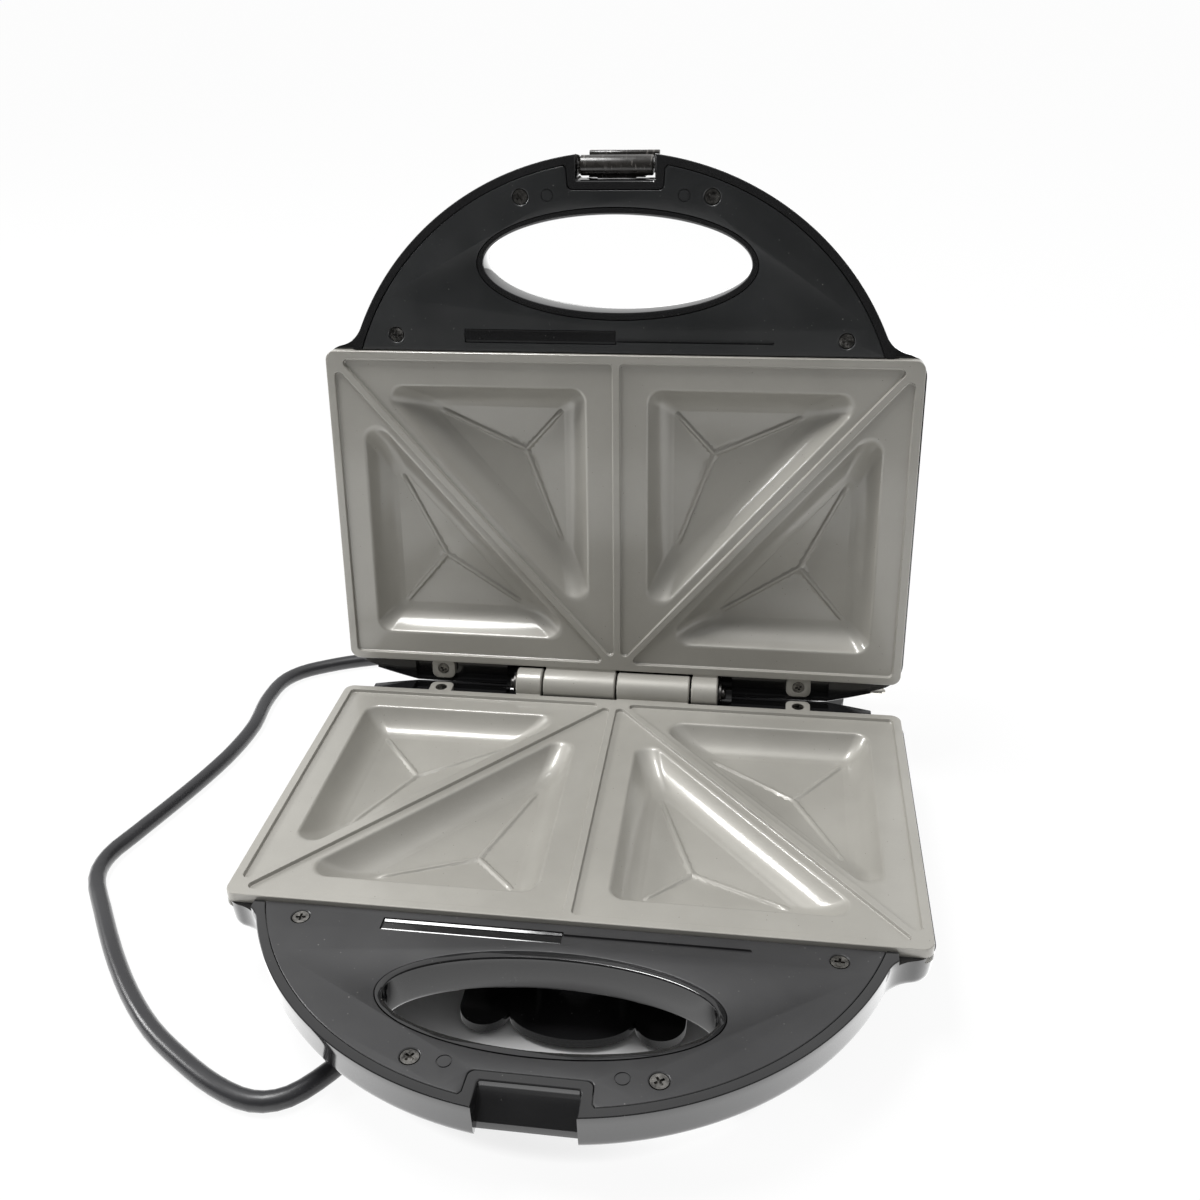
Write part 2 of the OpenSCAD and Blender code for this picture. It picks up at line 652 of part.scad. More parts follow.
module bars() {
    for (y = bar_ys) difference() {
        translate([-element_w / 2 - 6, y - 5, bar_z - bar_t]) cube([element_w + 12, 10, bar_t]);
        for (x = [-post_x, post_x]) pillar([x, y], shank_d / 2 + 0.3, bar_z - 3, bar_z + 1);
    }
}

module bar_screws() {
    for (x = [-post_x, post_x], y = bar_ys) translate([x, y, bar_z - bar_t]) mirror([0, 0, 1])
        screw(5.6, head_d);
}

// Reflector: a shallow sheet tray under the element, resting on the casing's four props
module reflector() {
    translate([0, 0, sheet_z - sheet_t]) difference() {
        linear_extrude(2.6) polygon(round_box(sheet_x, sheet_front, sheet_back, 8, 4));
        translate([0, 0, sheet_t]) linear_extrude(3)
            polygon(round_box(sheet_x - sheet_t, sheet_front + sheet_t, sheet_back - sheet_t,
                8 - sheet_t, 4));
    }
}

module lower_element() {
    color([0.35, 0.34, 0.33]) in_base() element();
}

module upper_element() {
    color([0.35, 0.34, 0.33]) lid_half() element();
}

module lower_element_bars() {
    color([0.6, 0.6, 0.6]) in_base() bars();
}

module upper_element_bars() {
    color([0.6, 0.6, 0.6]) lid_half() bars();
}

module lower_bar_screws() {
    color([0.7, 0.7, 0.7]) in_base() bar_screws();
}

module upper_bar_screws() {
    color([0.7, 0.7, 0.7]) lid_half() bar_screws();
}

module lower_reflector() {
    color([0.75, 0.76, 0.77]) in_base() reflector();
}

module upper_reflector() {
    color([0.75, 0.76, 0.77]) lid_half() reflector();
}

// Thermostat: a disc pressed to the plate's underside with two terminal tabs
module thermostat() {
    under = land_z - cast_t + 0.4;
    color([0.75, 0.7, 0.6]) in_base() translate([0, -20, under]) {
        translate([0, 0, -6.2]) cylinder(h = 6.1, r = 8, $fn = 48);
        translate([0, 0, -8.6]) cylinder(h = 2.5, r = 5.4, $fn = 40);
        for (x = [-1, 1]) translate([x * 9.6 - 3.2, -2.5, -5.2]) cube([6.4, 5, 0.8]);
    }
}

// Thermal fuse in its sleeve, held along the plate's middle rib
module thermal_fuse() {
    color([0.85, 0.82, 0.7]) in_base() translate([0, -72, land_z - cast_t - 2.4]) rotate([-90, 0, 0]) {
        cylinder(h = 22, r = 2.6, $fn = 32);
        translate([0, 0, -9]) cylinder(h = 40, r = 0.6, $fn = 24);
    }
}

module terminal_block() {
    color([0.9, 0.9, 0.86]) in_base() translate([-38, -72, belly_z + wall + 0.05]) difference() {
        union() {
            translate([-15, -7, 0]) cube([30, 14, 3]);
            for (x = [-10, 0, 10]) translate([x - 4, -6, 2.9]) cube([8, 12, 2]);
        }
        for (x = [-10, 0, 10]) pillar([x, 0], 1.6, 2, 9);
    }
}

module terminal_screws() {
    color([0.8, 0.7, 0.4]) in_base() translate([-38, -72, belly_z + wall + 0.05])
        for (x = [-10, 0, 10]) translate([x, 0, 2]) difference() {
            cylinder(h = 2.6, r = 1.55, $fn = 32);
            translate([-1.2, -0.3, 2]) cube([2.4, 0.6, 1]);
        }
}

module cord_clamp() {
    color([0.9, 0.9, 0.88]) in_base() translate([exit_x, -19, exit_z - hinge_h - 3.3]) difference() {
        translate([-13, -4, 0]) cube([26, 8, 3]);
        for (x = [-9, 9]) pillar([x, 0], 1.6, -1, 5);
    }
}

module clamp_screws() {
    color([0.7, 0.7, 0.7]) in_base() for (x = [-9, 9]) translate([exit_x + x, -19, exit_z - hinge_h - 0.3])
        difference() {
            union() {
                translate([0, 0, -7]) cylinder(h = 7.2, r = 1.25, $fn = 32);
                cylinder(h = 1.4, r = 2.5, $fn = 32);
            }
            for (a = [0, 90]) rotate([0, 0, a]) translate([-1.4, -0.35, 0.7]) cube([2.8, 0.7, 1]);
        }
}

module rubber_feet() {
    color([0.08, 0.08, 0.08]) in_base() foot_places() rotate_extrude($fn = 64)
        polygon([[0, -hinge_h], [foot_d / 2 - 1, -hinge_h], [foot_d / 2, -hinge_h + 1],
            [foot_d / 2, belly_z],
            [2.5, belly_z], [2.5, belly_z + wall], [3.4, belly_z + wall + 0.1],
                [2, belly_z + wall + 2], [0, belly_z + wall + 2]]);
}

module hinge_pin() {
    len = 2 * hinge_half + 6;
    color([0.75, 0.75, 0.76]) in_base() rotate([0, 90, 0]) rotate_extrude($fn = 72)
        polygon([[0, -len / 2], [pin_d / 2 - 0.5, -len / 2], [pin_d / 2, -len / 2 + 0.5],
            [pin_d / 2, -hinge_half - 1.4],
            [pin_d / 2 - 0.6, -hinge_half - 1.4], [pin_d / 2 - 0.6, -hinge_half - 0.5],
                [pin_d / 2, -hinge_half - 0.5],
            [pin_d / 2, hinge_half + 0.5], [pin_d / 2 - 0.6, hinge_half + 0.5],
                [pin_d / 2 - 0.6, hinge_half + 1.4],
            [pin_d / 2, hinge_half + 1.4], [pin_d / 2, len / 2 - 0.5], [pin_d / 2 - 0.5, len / 2],
                [0, len / 2]]);
}

module pin_clips() {
    color([0.6, 0.6, 0.62]) in_base() for (x = [-1, 1])
        translate([x * (hinge_half + 0.95), 0, 0]) rotate([0, 90, 0]) difference() {
            cylinder(h = 0.8, r = pin_d / 2 + 1.8, center = true, $fn = 48);
            cylinder(h = 2, r = pin_d / 2 - 0.55, center = true, $fn = 48);
            translate([0, -1.4, -1]) cube([9, 2.8, 2]);
        }
}

module cord_relief() {
    grip = exit_z - hinge_h;
    root = relief_y;
    color([0.07, 0.07, 0.07]) in_base() translate([exit_x, 0, grip]) rotate([-90, 0, 0]) difference() {
        rotate_extrude($fn = 48) polygon([[0, root - wall - 9.4], [6.1, root - wall - 9.4],
            [6.1, root - wall - 6.2],
            [5, root - wall - 6.2], [5, root], [5.6, root], [5.4, root + 3], [4.6, root + 12],
                [4, root + relief_len],
            [0, root + relief_len]]);
    }
}

// A tube of n sides swept along a path of points
module swept(path, r, n) {
    m = len(path);
    tang = [for (i = [0:m - 1]) unit(path[min(i + 1, m - 1)] - path[max(i - 1, 0)])];
    side = [for (t = tang) unit(cross(t, [0, 0, 1]))];
    rings = [for (i = [0:m - 1]) [for (k = [0:n - 1]) let (a = 360 * k / n, up = cross(side[i], tang[i]))
        path[i] + r * (cos(a) * side[i] + sin(a) * up)]];
    loft(rings);
}

function catmull(p, i, t) =
    let (a = p[max(i - 1, 0)], b = p[i], c = p[i + 1], d = p[min(i + 2, len(p) - 1)])
    0.5 * (2 * b + (c - a) * t + (2 * a - 5 * b + 4 * c - d) * t * t + (3 * b - a - 3 * c + d) * t * t * t);
function smooth(p) = concat([for (i = [0:len(p) - 2]) each norm(p[i + 1] - p[i]) > 20
    ? [p[i], catmull(p, i, 0.5)] : [p[i]]], [p[len(p) - 1]]);

module power_cord() {
    color([0.06, 0.06, 0.065]) translate([0, hinge_y, 0]) swept(smooth(cord_path), cord_d / 2, 10);
}

module at_plug() {
    end = cord_path[len(cord_path) - 1];
    translate([end[0], end[1] + hinge_y, end[2]]) rotate([0, 90, 0]) children();
}

module plug_body() {
    r = plug_d / 2;
    flat = r - 1.6;
    color([0.06, 0.06, 0.065]) at_plug() difference() {
        rotate_extrude($fn = 72) polygon([[0, 0], [4.2, 0], [5.4, plug_tail - 6], [8.5, plug_tail],
            [r - 5, plug_tail + 9],
            [r - 1.2, plug_tail + 15], [r, plug_tail + 18], [r, plug_tail + plug_body_len - 1],
            [r - 1, plug_tail + plug_body_len], [0, plug_tail + plug_body_len]]);
        for (s = [-1, 1]) translate([-r, s * (flat + 3) - 3, plug_tail - 2])
            cube([2 * r, 6, plug_body_len + 4]);
        for (s = [-1, 1]) translate([s * 9.5, 0, plug_tail + plug_body_len - 6])
            cylinder(h = 8, r = 2.4, $fn = 32);
        translate([0, 9.5, plug_tail + plug_body_len - 12]) cylinder(h = 14, r = 2.9, $fn = 32);
    }
}

module plug_pins() {
    color([0.8, 0.78, 0.7]) at_plug() for (s = [-1, 1])
        translate([s * 9.5, 0, plug_tail + plug_body_len - 6])
        rotate_extrude($fn = 48) polygon([[0, 0], [2.4, 0], [2.4, 6 + pin_len - 1.4],
            [1.2, 6 + pin_len], [0, 6 + pin_len]]);
}

module plug_earth_contacts() {
    r = plug_d / 2;
    color([0.75, 0.7, 0.55]) at_plug() for (s = [-1, 1])
        translate([-4, s * (r - 1.6) - (s < 0 ? 1 : 0), plug_tail + 13])
        cube([8, 1, plug_body_len - 16]);
}

module lens() {
    seat_r = 3.05;
    rotate_extrude($fn = 48) polygon([[0, -dome_h + 4.4], [seat_r, -dome_h + 4.4], [seat_r, -dome_h],
        [4, -dome_h],
        [3.8, -dome_h - 0.7], [2.6, -dome_h - 1.3], [0, -dome_h - 1.6]]);
}

module red_lens() {
    color([0.8, 0.1, 0.05, 0.8]) lid_half() translate([-14, lens_y, 0]) lens();
}

module green_lens() {
    color([0.1, 0.6, 0.15, 0.8]) lid_half() translate([14, lens_y, 0]) lens();
}

module neon_lamps() {
    color([0.9, 0.6, 0.4]) lid_half() for (x = [-14, 14]) translate([x, lens_y, -dome_h + 4.6])
        cylinder(h = 3, r = 2.2, $fn = 32);
}

module lamp_holder() {
    color([0.85, 0.85, 0.8]) lid_half() difference() {
        translate([-22, lens_y - 6, -dome_h + 5.1]) cube([44, 12, 2.4]);
        for (x = [-14, 14]) pillar([x, lens_y], 2.25, -dome_h, -dome_h + 12);
    }
}

module latch_pin() {
    color([0.7, 0.7, 0.7]) in_lid() translate([0, -latch_at, latch_z]) rotate([0, 90, 0])
        cylinder(h = notch_w + 6.8, r = latch_pin_d / 2, center = true, $fn = 48);
}

// Latch lever at rest: hub on the pin, arm along the lid's depth, hook at the far end
module latch() {
    inner = lever_low;
    outer = lever_low + lever_t;
    top = lever_end;
    color([0.13, 0.12, 0.11]) in_lid() difference() {
        union() {
            translate([0, -latch_at, latch_z]) rotate([0, 90, 0])
                cylinder(h = latch_w, r = hub_r, center = true, $fn = 64);
            along_x(latch_w - 6, [[inner, latch_z], [outer, latch_z], [outer, top - 8], [inner, top - 8]]);
            along_x(latch_w, [[outer, top - 9], [outer, top - 1], [outer - 1, top],
                [hook_y + 0.6, top], [hook_y, top - 0.8],
                [hook_y, top - hook_t + 0.6], [hook_y + 0.6, top - hook_t], [inner - 0.6, top - hook_t],
                [inner, top - hook_t - 0.6], [inner, top - 9]]);
            translate([-7, hub_r - 1 - latch_at, latch_z - 1.2]) cube([14, 1.8, 2.4]);
        }
        translate([0, -latch_at, latch_z]) rotate([0, 90, 0])
            cylinder(h = latch_w + 2, r = latch_pin_d / 2 + pin_fit, center = true, $fn = 48);
    }
}

lower_shell();
lower_handle_cover();
lower_cover_screws();
lower_plate();
lower_plate_screws();
lower_element();
lower_element_bars();
lower_bar_screws();
lower_reflector();
thermostat();
thermal_fuse();
terminal_block();
terminal_screws();
cord_clamp();
clamp_screws();
rubber_feet();
hinge_pin();
pin_clips();
cord_relief();
power_cord();
plug_body();
plug_pins();
plug_earth_contacts();
upper_shell();
upper_handle_cover();
upper_cover_screws();
upper_plate();
upper_plate_screws();
upper_element();
upper_element_bars();
upper_bar_screws();
upper_reflector();
red_lens();
green_lens();
neon_lamps();
lamp_holder();
latch_pin();
latch();
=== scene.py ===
import json
import math

import bmesh
import bpy
import numpy as np
from mathutils import Matrix, Vector


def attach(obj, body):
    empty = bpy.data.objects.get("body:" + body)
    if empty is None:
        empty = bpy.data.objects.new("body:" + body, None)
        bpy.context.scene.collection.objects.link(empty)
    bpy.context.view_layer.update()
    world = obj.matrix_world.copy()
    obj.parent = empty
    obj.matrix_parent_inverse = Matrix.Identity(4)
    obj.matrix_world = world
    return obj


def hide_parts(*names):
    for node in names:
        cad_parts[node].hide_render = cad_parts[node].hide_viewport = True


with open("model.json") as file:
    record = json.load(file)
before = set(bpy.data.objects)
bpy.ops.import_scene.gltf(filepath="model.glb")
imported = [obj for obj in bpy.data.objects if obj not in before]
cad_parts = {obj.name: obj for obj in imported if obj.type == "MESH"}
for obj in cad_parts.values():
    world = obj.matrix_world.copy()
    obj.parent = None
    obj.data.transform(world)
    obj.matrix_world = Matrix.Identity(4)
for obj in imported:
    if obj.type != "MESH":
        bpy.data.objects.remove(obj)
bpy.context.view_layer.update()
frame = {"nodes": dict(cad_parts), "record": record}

# Sizes in millimetres, from the hinge axis as in the part's source: x to the right, y to the back,
# z up. Both halves are drawn as the lower one, below the axis.
MM = 0.001
HINGE_Y, HINGE_H = 81.0327, 37.0  # the hinge axis in the row frame
OPEN_ANGLE = 93.6  # how far the lid stands open at rest
HALF_W = 113.5  # the casing's half width
BODY_FRONT = 139.6
BACK_BOW, BOW_R, BACK_R = 12.5, 357.0, 12.0
FRONT_R, HOLLOW_R = 9.0, 12.0  # its front corners, and the hollows where the handle starts
HANDLE_R, HANDLE_FRONT = 107.0, 210.5
HANDLE_CY = HANDLE_R - HANDLE_FRONT
TRAY_Z = -15.5  # underside of the handle and of the tray's rim
FACE_Z = -2.4  # face of the handle, its cover and the tray
SEAT_Z = DECK_Z = -4.8  # seats of the cover and of the plate's screw ears
STRIP = 3.2  # the casing's rim beside the cover
GRIP_Y = -170.9  # finger hole: centre, half axes in the casing and the cover
GRIP_A, GRIP_B = 49.1, 17.6
GRIP_OUT_A, GRIP_OUT_B = 51.3, 20.1
NOTCH_W, NOTCH_BACK = 28.4, 200.4  # latch notch
PLATE_W, PLATE_D, PLATE_BACK = 225.0, 130.6, 7.2
PLATE_FRONT = PLATE_BACK + PLATE_D
PLATE_CORNER = 4.0
RIM_Z, LAND_Z, EDGE_Z = -1.0, -2.4, -4.2  # plate: top of rim and ribs, land round a pocket, foot
BELLY_Z = -34.0  # the lowest part of the belly, the casing's bulge under the plate
HINGE_HALF, KNUCKLE_R = 41.0, 6.5
LATCH_Y, LATCH_Z = -205.2, 8.6  # the latch's own hinge on the shut lid


# ---------------- frames

def base_point(points):
    """Points of the lower half, in mm from the hinge axis, to the row frame in metres."""
    return (np.asarray(points, float) + (0.0, HINGE_Y, HINGE_H)) * MM


def lid_point(points):
    """Points of the shut lid, above the hinge axis, swung open, to the row frame in metres."""
    p = np.asarray(points, float)
    c, s = math.cos(math.radians(OPEN_ANGLE)), math.sin(math.radians(OPEN_ANGLE))
    y = p[:, 1] * c + p[:, 2] * s
    z = -p[:, 1] * s + p[:, 2] * c
    return base_point(np.column_stack([p[:, 0], y, z]))


def lid_half_point(points):
    """Points drawn as a lower half, turned over as the lid's casing is."""
    return lid_point(np.asarray(points, float) * (1, 1, -1))


def lid_turned_point(points):
    """Points drawn as the lower plate, turned over as the upper plate is."""
    return lid_point(np.asarray(points, float) * (-1, 1, -1))


def placed(name, data):
    """An object of the scene with this data."""
    obj = bpy.data.objects.new(name, data)
    bpy.context.scene.collection.objects.link(obj)
    return obj


# ---------------- camera and cord

# Fitted to the photograph: pixels in its own frame, turns in radians about X, Y and Z
FRAME_PX = 1200.0
FOCAL_PX = 1269.241
CENTRE_PX = (578.31, 536.519)
SENSOR = 36.0
CAMERA_TURN = (2.00138626, 0.142957223, 0.0379111984)
CAMERA_AT = (0.055962, (-443.607 + HINGE_Y) * MM, (271.226 + HINGE_H) * MM)


def make_camera():
    rx, ry, rz = CAMERA_TURN
    turn = Matrix.Rotation(rz, 3, "Z") @ Matrix.Rotation(ry, 3, "Y") @ Matrix.Rotation(rx, 3, "X")
    data = bpy.data.cameras.new("camera")
    data.sensor_width = SENSOR
    data.lens = SENSOR * FOCAL_PX / FRAME_PX
    data.shift_x = (FRAME_PX / 2 - CENTRE_PX[0]) / FRAME_PX
    data.shift_y = (CENTRE_PX[1] - FRAME_PX / 2) / FRAME_PX
    camera = placed("camera", data)
    flip = Matrix.Diagonal((1, -1, -1))
    camera.matrix_world = Matrix.Translation(CAMERA_AT) @ (turn.transposed() @ flip).to_4x4()
    bpy.context.scene.camera = camera


make_camera()

CORD_D = 6.3
# Chosen along the photograph: x and y from the hinge axis, z above the floor
CORD_PATH = [
    (-50, 36.5, 14.5), (-50.5, 49, 13), (-53.5, 61, 9.5), (-62, 71.5, 5.6), (-75, 76.5, 3.4),
    (-92, 77, 3.2), (-112, 74, 3.2), (-133, 67.5, 3.2), (-147, 61, 3.2), (-158, 53.5, 3.2),
    (-164, 43, 3.2), (-165, 26, 3.2), (-163, 7, 3.2), (-164.5, -13, 3.2), (-168.5, -32, 3.2),
    (-174.5, -53, 3.2), (-180.5, -72, 3.2), (-184.5, -86, 3.2), (-182.5, -99, 3.2),
    (-172, -115, 3.2), (-158, -134.5, 3.2), (-143.5, -152, 3.2), (-129, -166, 3.2),
    (-114, -176.5, 3.2), (-100, -184.5, 3.2), (-87, -188.5, 3.2), (-76.5, -185.5, 3.2),
    (-67.5, -175, 3.2), (-61.5, -163, 3.2), (-60, -151.5, 3.2), (-63, -141, 3.2), (-70, -130, 3.2),
    (-80, -118, 3.2), (-89, -105, 3.2), (-94, -90, 3.2), (-95.5, -68, 3.2), (-95.5, -40, 3.2),
    (-94, -14, 3.2), (-87, 6, 3.2), (-74, 21, 3.2), (-56, 30, 3.2), (-38, 36.5, 3.6),
    (-20, 43.5, 6), (-3, 50, 10), (12, 54, 14), (26, 55.5, 17), (36, 55.6, 18),
]


def smooth_path(points, steps):
    """A Catmull-Rom line through the points, with so many steps between two of them."""
    p = np.array(points, float)
    out = []
    for i in range(len(p) - 1):
        a, b, c, d = p[max(i - 1, 0)], p[i], p[i + 1], p[min(i + 2, len(p) - 1)]
        for t in np.arange(steps) / steps:
            out.append(0.5 * (2 * b + (c - a) * t + (2 * a - 5 * b + 4 * c - d) * t * t
                              + (3 * b - a - 3 * c + d) * t ** 3))
    out.append(p[-1])
    return np.array(out)


# ---------------- materials

def node_material(name):
    """A material with its node tree, shader and the object's own coordinates."""
    mat = bpy.data.materials.new(name)
    mat.use_nodes = True
    tree = mat.node_tree
    shader = tree.nodes["Principled BSDF"]
    coords = tree.nodes.new("ShaderNodeTexCoord")
    return mat, tree, shader, coords.outputs["Object"]


def maths(tree, operation, first, second):
    tex = tree.nodes.new("ShaderNodeMath")
    tex.operation = operation
    for socket, value in zip(tex.inputs, (first, second)):
        if isinstance(value, (int, float)):
            socket.default_value = value
        else:
            tree.links.new(value, socket)
    return tex.outputs["Value"]


def noise(tree, coords, scale, detail=3.0, rough=0.55, stretch=None):
    if stretch:
        mapping = tree.nodes.new("ShaderNodeMapping")
        mapping.inputs["Scale"].default_value = stretch
        tree.links.new(coords, mapping.inputs["Vector"])
        coords = mapping.outputs["Vector"]
    tex = tree.nodes.new("ShaderNodeTexNoise")
    tex.inputs["Scale"].default_value = scale
    tex.inputs["Detail"].default_value = detail
    tex.inputs["Roughness"].default_value = rough
    tree.links.new(coords, tex.inputs["Vector"])
    return tex.outputs["Fac"]


def spread(tree, value, low, high, out_low, out_high):
    """The value, with low to high spread over out_low to out_high."""
    tex = tree.nodes.new("ShaderNodeMapRange")
    ends = {"From Min": low, "From Max": high, "To Min": out_low, "To Max": out_high}
    for key, number in ends.items():
        tex.inputs[key].default_value = number
    tree.links.new(value, tex.inputs["Value"])
    return tex.outputs["Result"]


def mixed(tree, factor, first, second):
    """The first colour turning into the second as the factor goes from 0 to 1."""
    tex = tree.nodes.new("ShaderNodeMix")
    tex.data_type = "RGBA"
    for socket, value in ((tex.inputs["A"], first), (tex.inputs["B"], second)):
        if isinstance(value, tuple):
            socket.default_value = (*value, 1)
        else:
            tree.links.new(value, socket)
    tree.links.new(factor, tex.inputs["Factor"])
    return tex.outputs["Result"]


def bump(tree, shader, height, strength, distance, before=None):
    """Relief from the height, on top of an earlier bump where there is one."""
    tex = tree.nodes.new("ShaderNodeBump")
    tex.inputs["Strength"].default_value = strength
    tex.inputs["Distance"].default_value = distance
    tree.links.new(height, tex.inputs["Height"])
    if before:
        tree.links.new(before, tex.inputs["Normal"])
    tree.links.new(tex.outputs["Normal"], shader.inputs["Normal"])
    return tex.outputs["Normal"]


def specks(tree, coords, scale, size):
    """1 inside small scattered dots, 0 elsewhere."""
    tex = tree.nodes.new("ShaderNodeTexVoronoi")
    tex.inputs["Scale"].default_value = scale
    tree.links.new(coords, tex.inputs["Vector"])
    return spread(tree, tex.outputs["Distance"], size, size * 0.6, 0.0, 1.0)


DUST = (0.35, 0.34, 0.32)
GRAIN_DEPTH = 0.0001


def plastic(name, color, worn, rough, grain_scale, grain, dust=0.0, coat=0.0):
    """A moulded plastic: slight colour and gloss changes, a fine grain, and a few dust specks."""
    mat, tree, shader, coords = node_material(name)
    clouds = noise(tree, coords, 28.0)
    base = mixed(tree, spread(tree, clouds, 0.35, 0.7, 0.0, 1.0), color, worn)
    if dust:
        dots = specks(tree, coords, 420.0, 0.11)
        patch = spread(tree, noise(tree, coords, 60.0), 0.5, 0.7, 0.0, dust)
        base = mixed(tree, maths(tree, "MULTIPLY", dots, patch), base, DUST)
    tree.links.new(base, shader.inputs["Base Color"])
    smears = noise(tree, coords, 45.0, 4.0, 0.6)
    tree.links.new(spread(tree, smears, 0.35, 0.7, *rough), shader.inputs["Roughness"])
    shader.inputs["Coat Weight"].default_value = coat
    shader.inputs["Coat Roughness"].default_value = 0.08
    bump(tree, shader, noise(tree, coords, grain_scale, 2.0), grain, GRAIN_DEPTH)
    return mat


def metal(name, color, worn, rough, scale, stretch=None):
    """A bare or plated metal: cloudy colour and gloss, drawn out along the sheet or bar by stretch."""
    mat, tree, shader, coords = node_material(name)
    clouds = noise(tree, coords, scale, 4.0, 0.6, stretch)
    tree.links.new(mixed(tree, spread(tree, clouds, 0.3, 0.75, 0.0, 1.0), color, worn),
                   shader.inputs["Base Color"])
    tree.links.new(spread(tree, clouds, 0.3, 0.75, *rough), shader.inputs["Roughness"])
    shader.inputs["Metallic"].default_value = 1.0
    bump(tree, shader, noise(tree, coords, scale * 6), 0.1, GRAIN_DEPTH)
    return mat


def nonstick(name, color, worn, rough):
    """Grey non-stick coating on a casting: a fine sprayed grain, a soft sheen and faint use marks."""
    mat, tree, shader, coords = node_material(name)
    clouds = noise(tree, coords, 22.0, 5.0, 0.6)
    grain = noise(tree, coords, 1900.0, 2.0, 0.7)
    base = mixed(tree, spread(tree, clouds, 0.3, 0.72, 0.0, 1.0), color, worn)
    base = mixed(tree, spread(tree, grain, 0.62, 0.75, 0.0, 0.35), base, tuple(c * 1.35 for c in color))
    base = mixed(tree, specks(tree, coords, 260.0, 0.05), base, tuple(c * 0.45 for c in color))
    tree.links.new(base, shader.inputs["Base Color"])
    tree.links.new(spread(tree, clouds, 0.3, 0.75, *rough), shader.inputs["Roughness"])
    shader.inputs["Metallic"].default_value = 0.2
    shader.inputs["Coat Weight"].default_value = 0.5
    shader.inputs["Coat Roughness"].default_value = 0.12
    first = bump(tree, shader, grain, 0.16, GRAIN_DEPTH)
    bump(tree, shader, noise(tree, coords, 300.0, 2.0), 0.12, 3 * GRAIN_DEPTH, first)
    return mat


SCRATCHED, DULLED = (0.16, 0.15, 0.14), (0.13, 0.12, 0.11)


def worn_gloss(name, color):
    """The latch's glossy dark plastic, dulled in patches and scratched along its length."""
    mat, tree, shader, coords = node_material(name)
    fine = noise(tree, coords, 900.0, 3.0, 0.7, (1.0, 0.08, 0.25))
    lines = spread(tree, fine, 0.58, 0.68, 0.0, 1.0)
    clouds = noise(tree, coords, 90.0, 4.0)
    base = mixed(tree, lines, color, SCRATCHED)
    base = mixed(tree, spread(tree, clouds, 0.5, 0.75, 0.0, 0.5), base, DULLED)
    tree.links.new(base, shader.inputs["Base Color"])
    tree.links.new(spread(tree, clouds, 0.3, 0.7, 0.16, 0.4), shader.inputs["Roughness"])
    bump(tree, shader, fine, 0.2, GRAIN_DEPTH)
    return mat


def clear_lens(name, color):
    """A tinted clear moulding, glossy and a little cloudy."""
    mat, tree, shader, coords = node_material(name)
    clouds = noise(tree, coords, 300.0)
    tree.links.new(mixed(tree, clouds, color, tuple(c * 0.7 for c in color)), shader.inputs["Base Color"])
    shader.inputs["Transmission Weight"].default_value = 0.6
    shader.inputs["IOR"].default_value = 1.49
    tree.links.new(spread(tree, clouds, 0.3, 0.7, 0.03, 0.09), shader.inputs["Roughness"])
    return mat


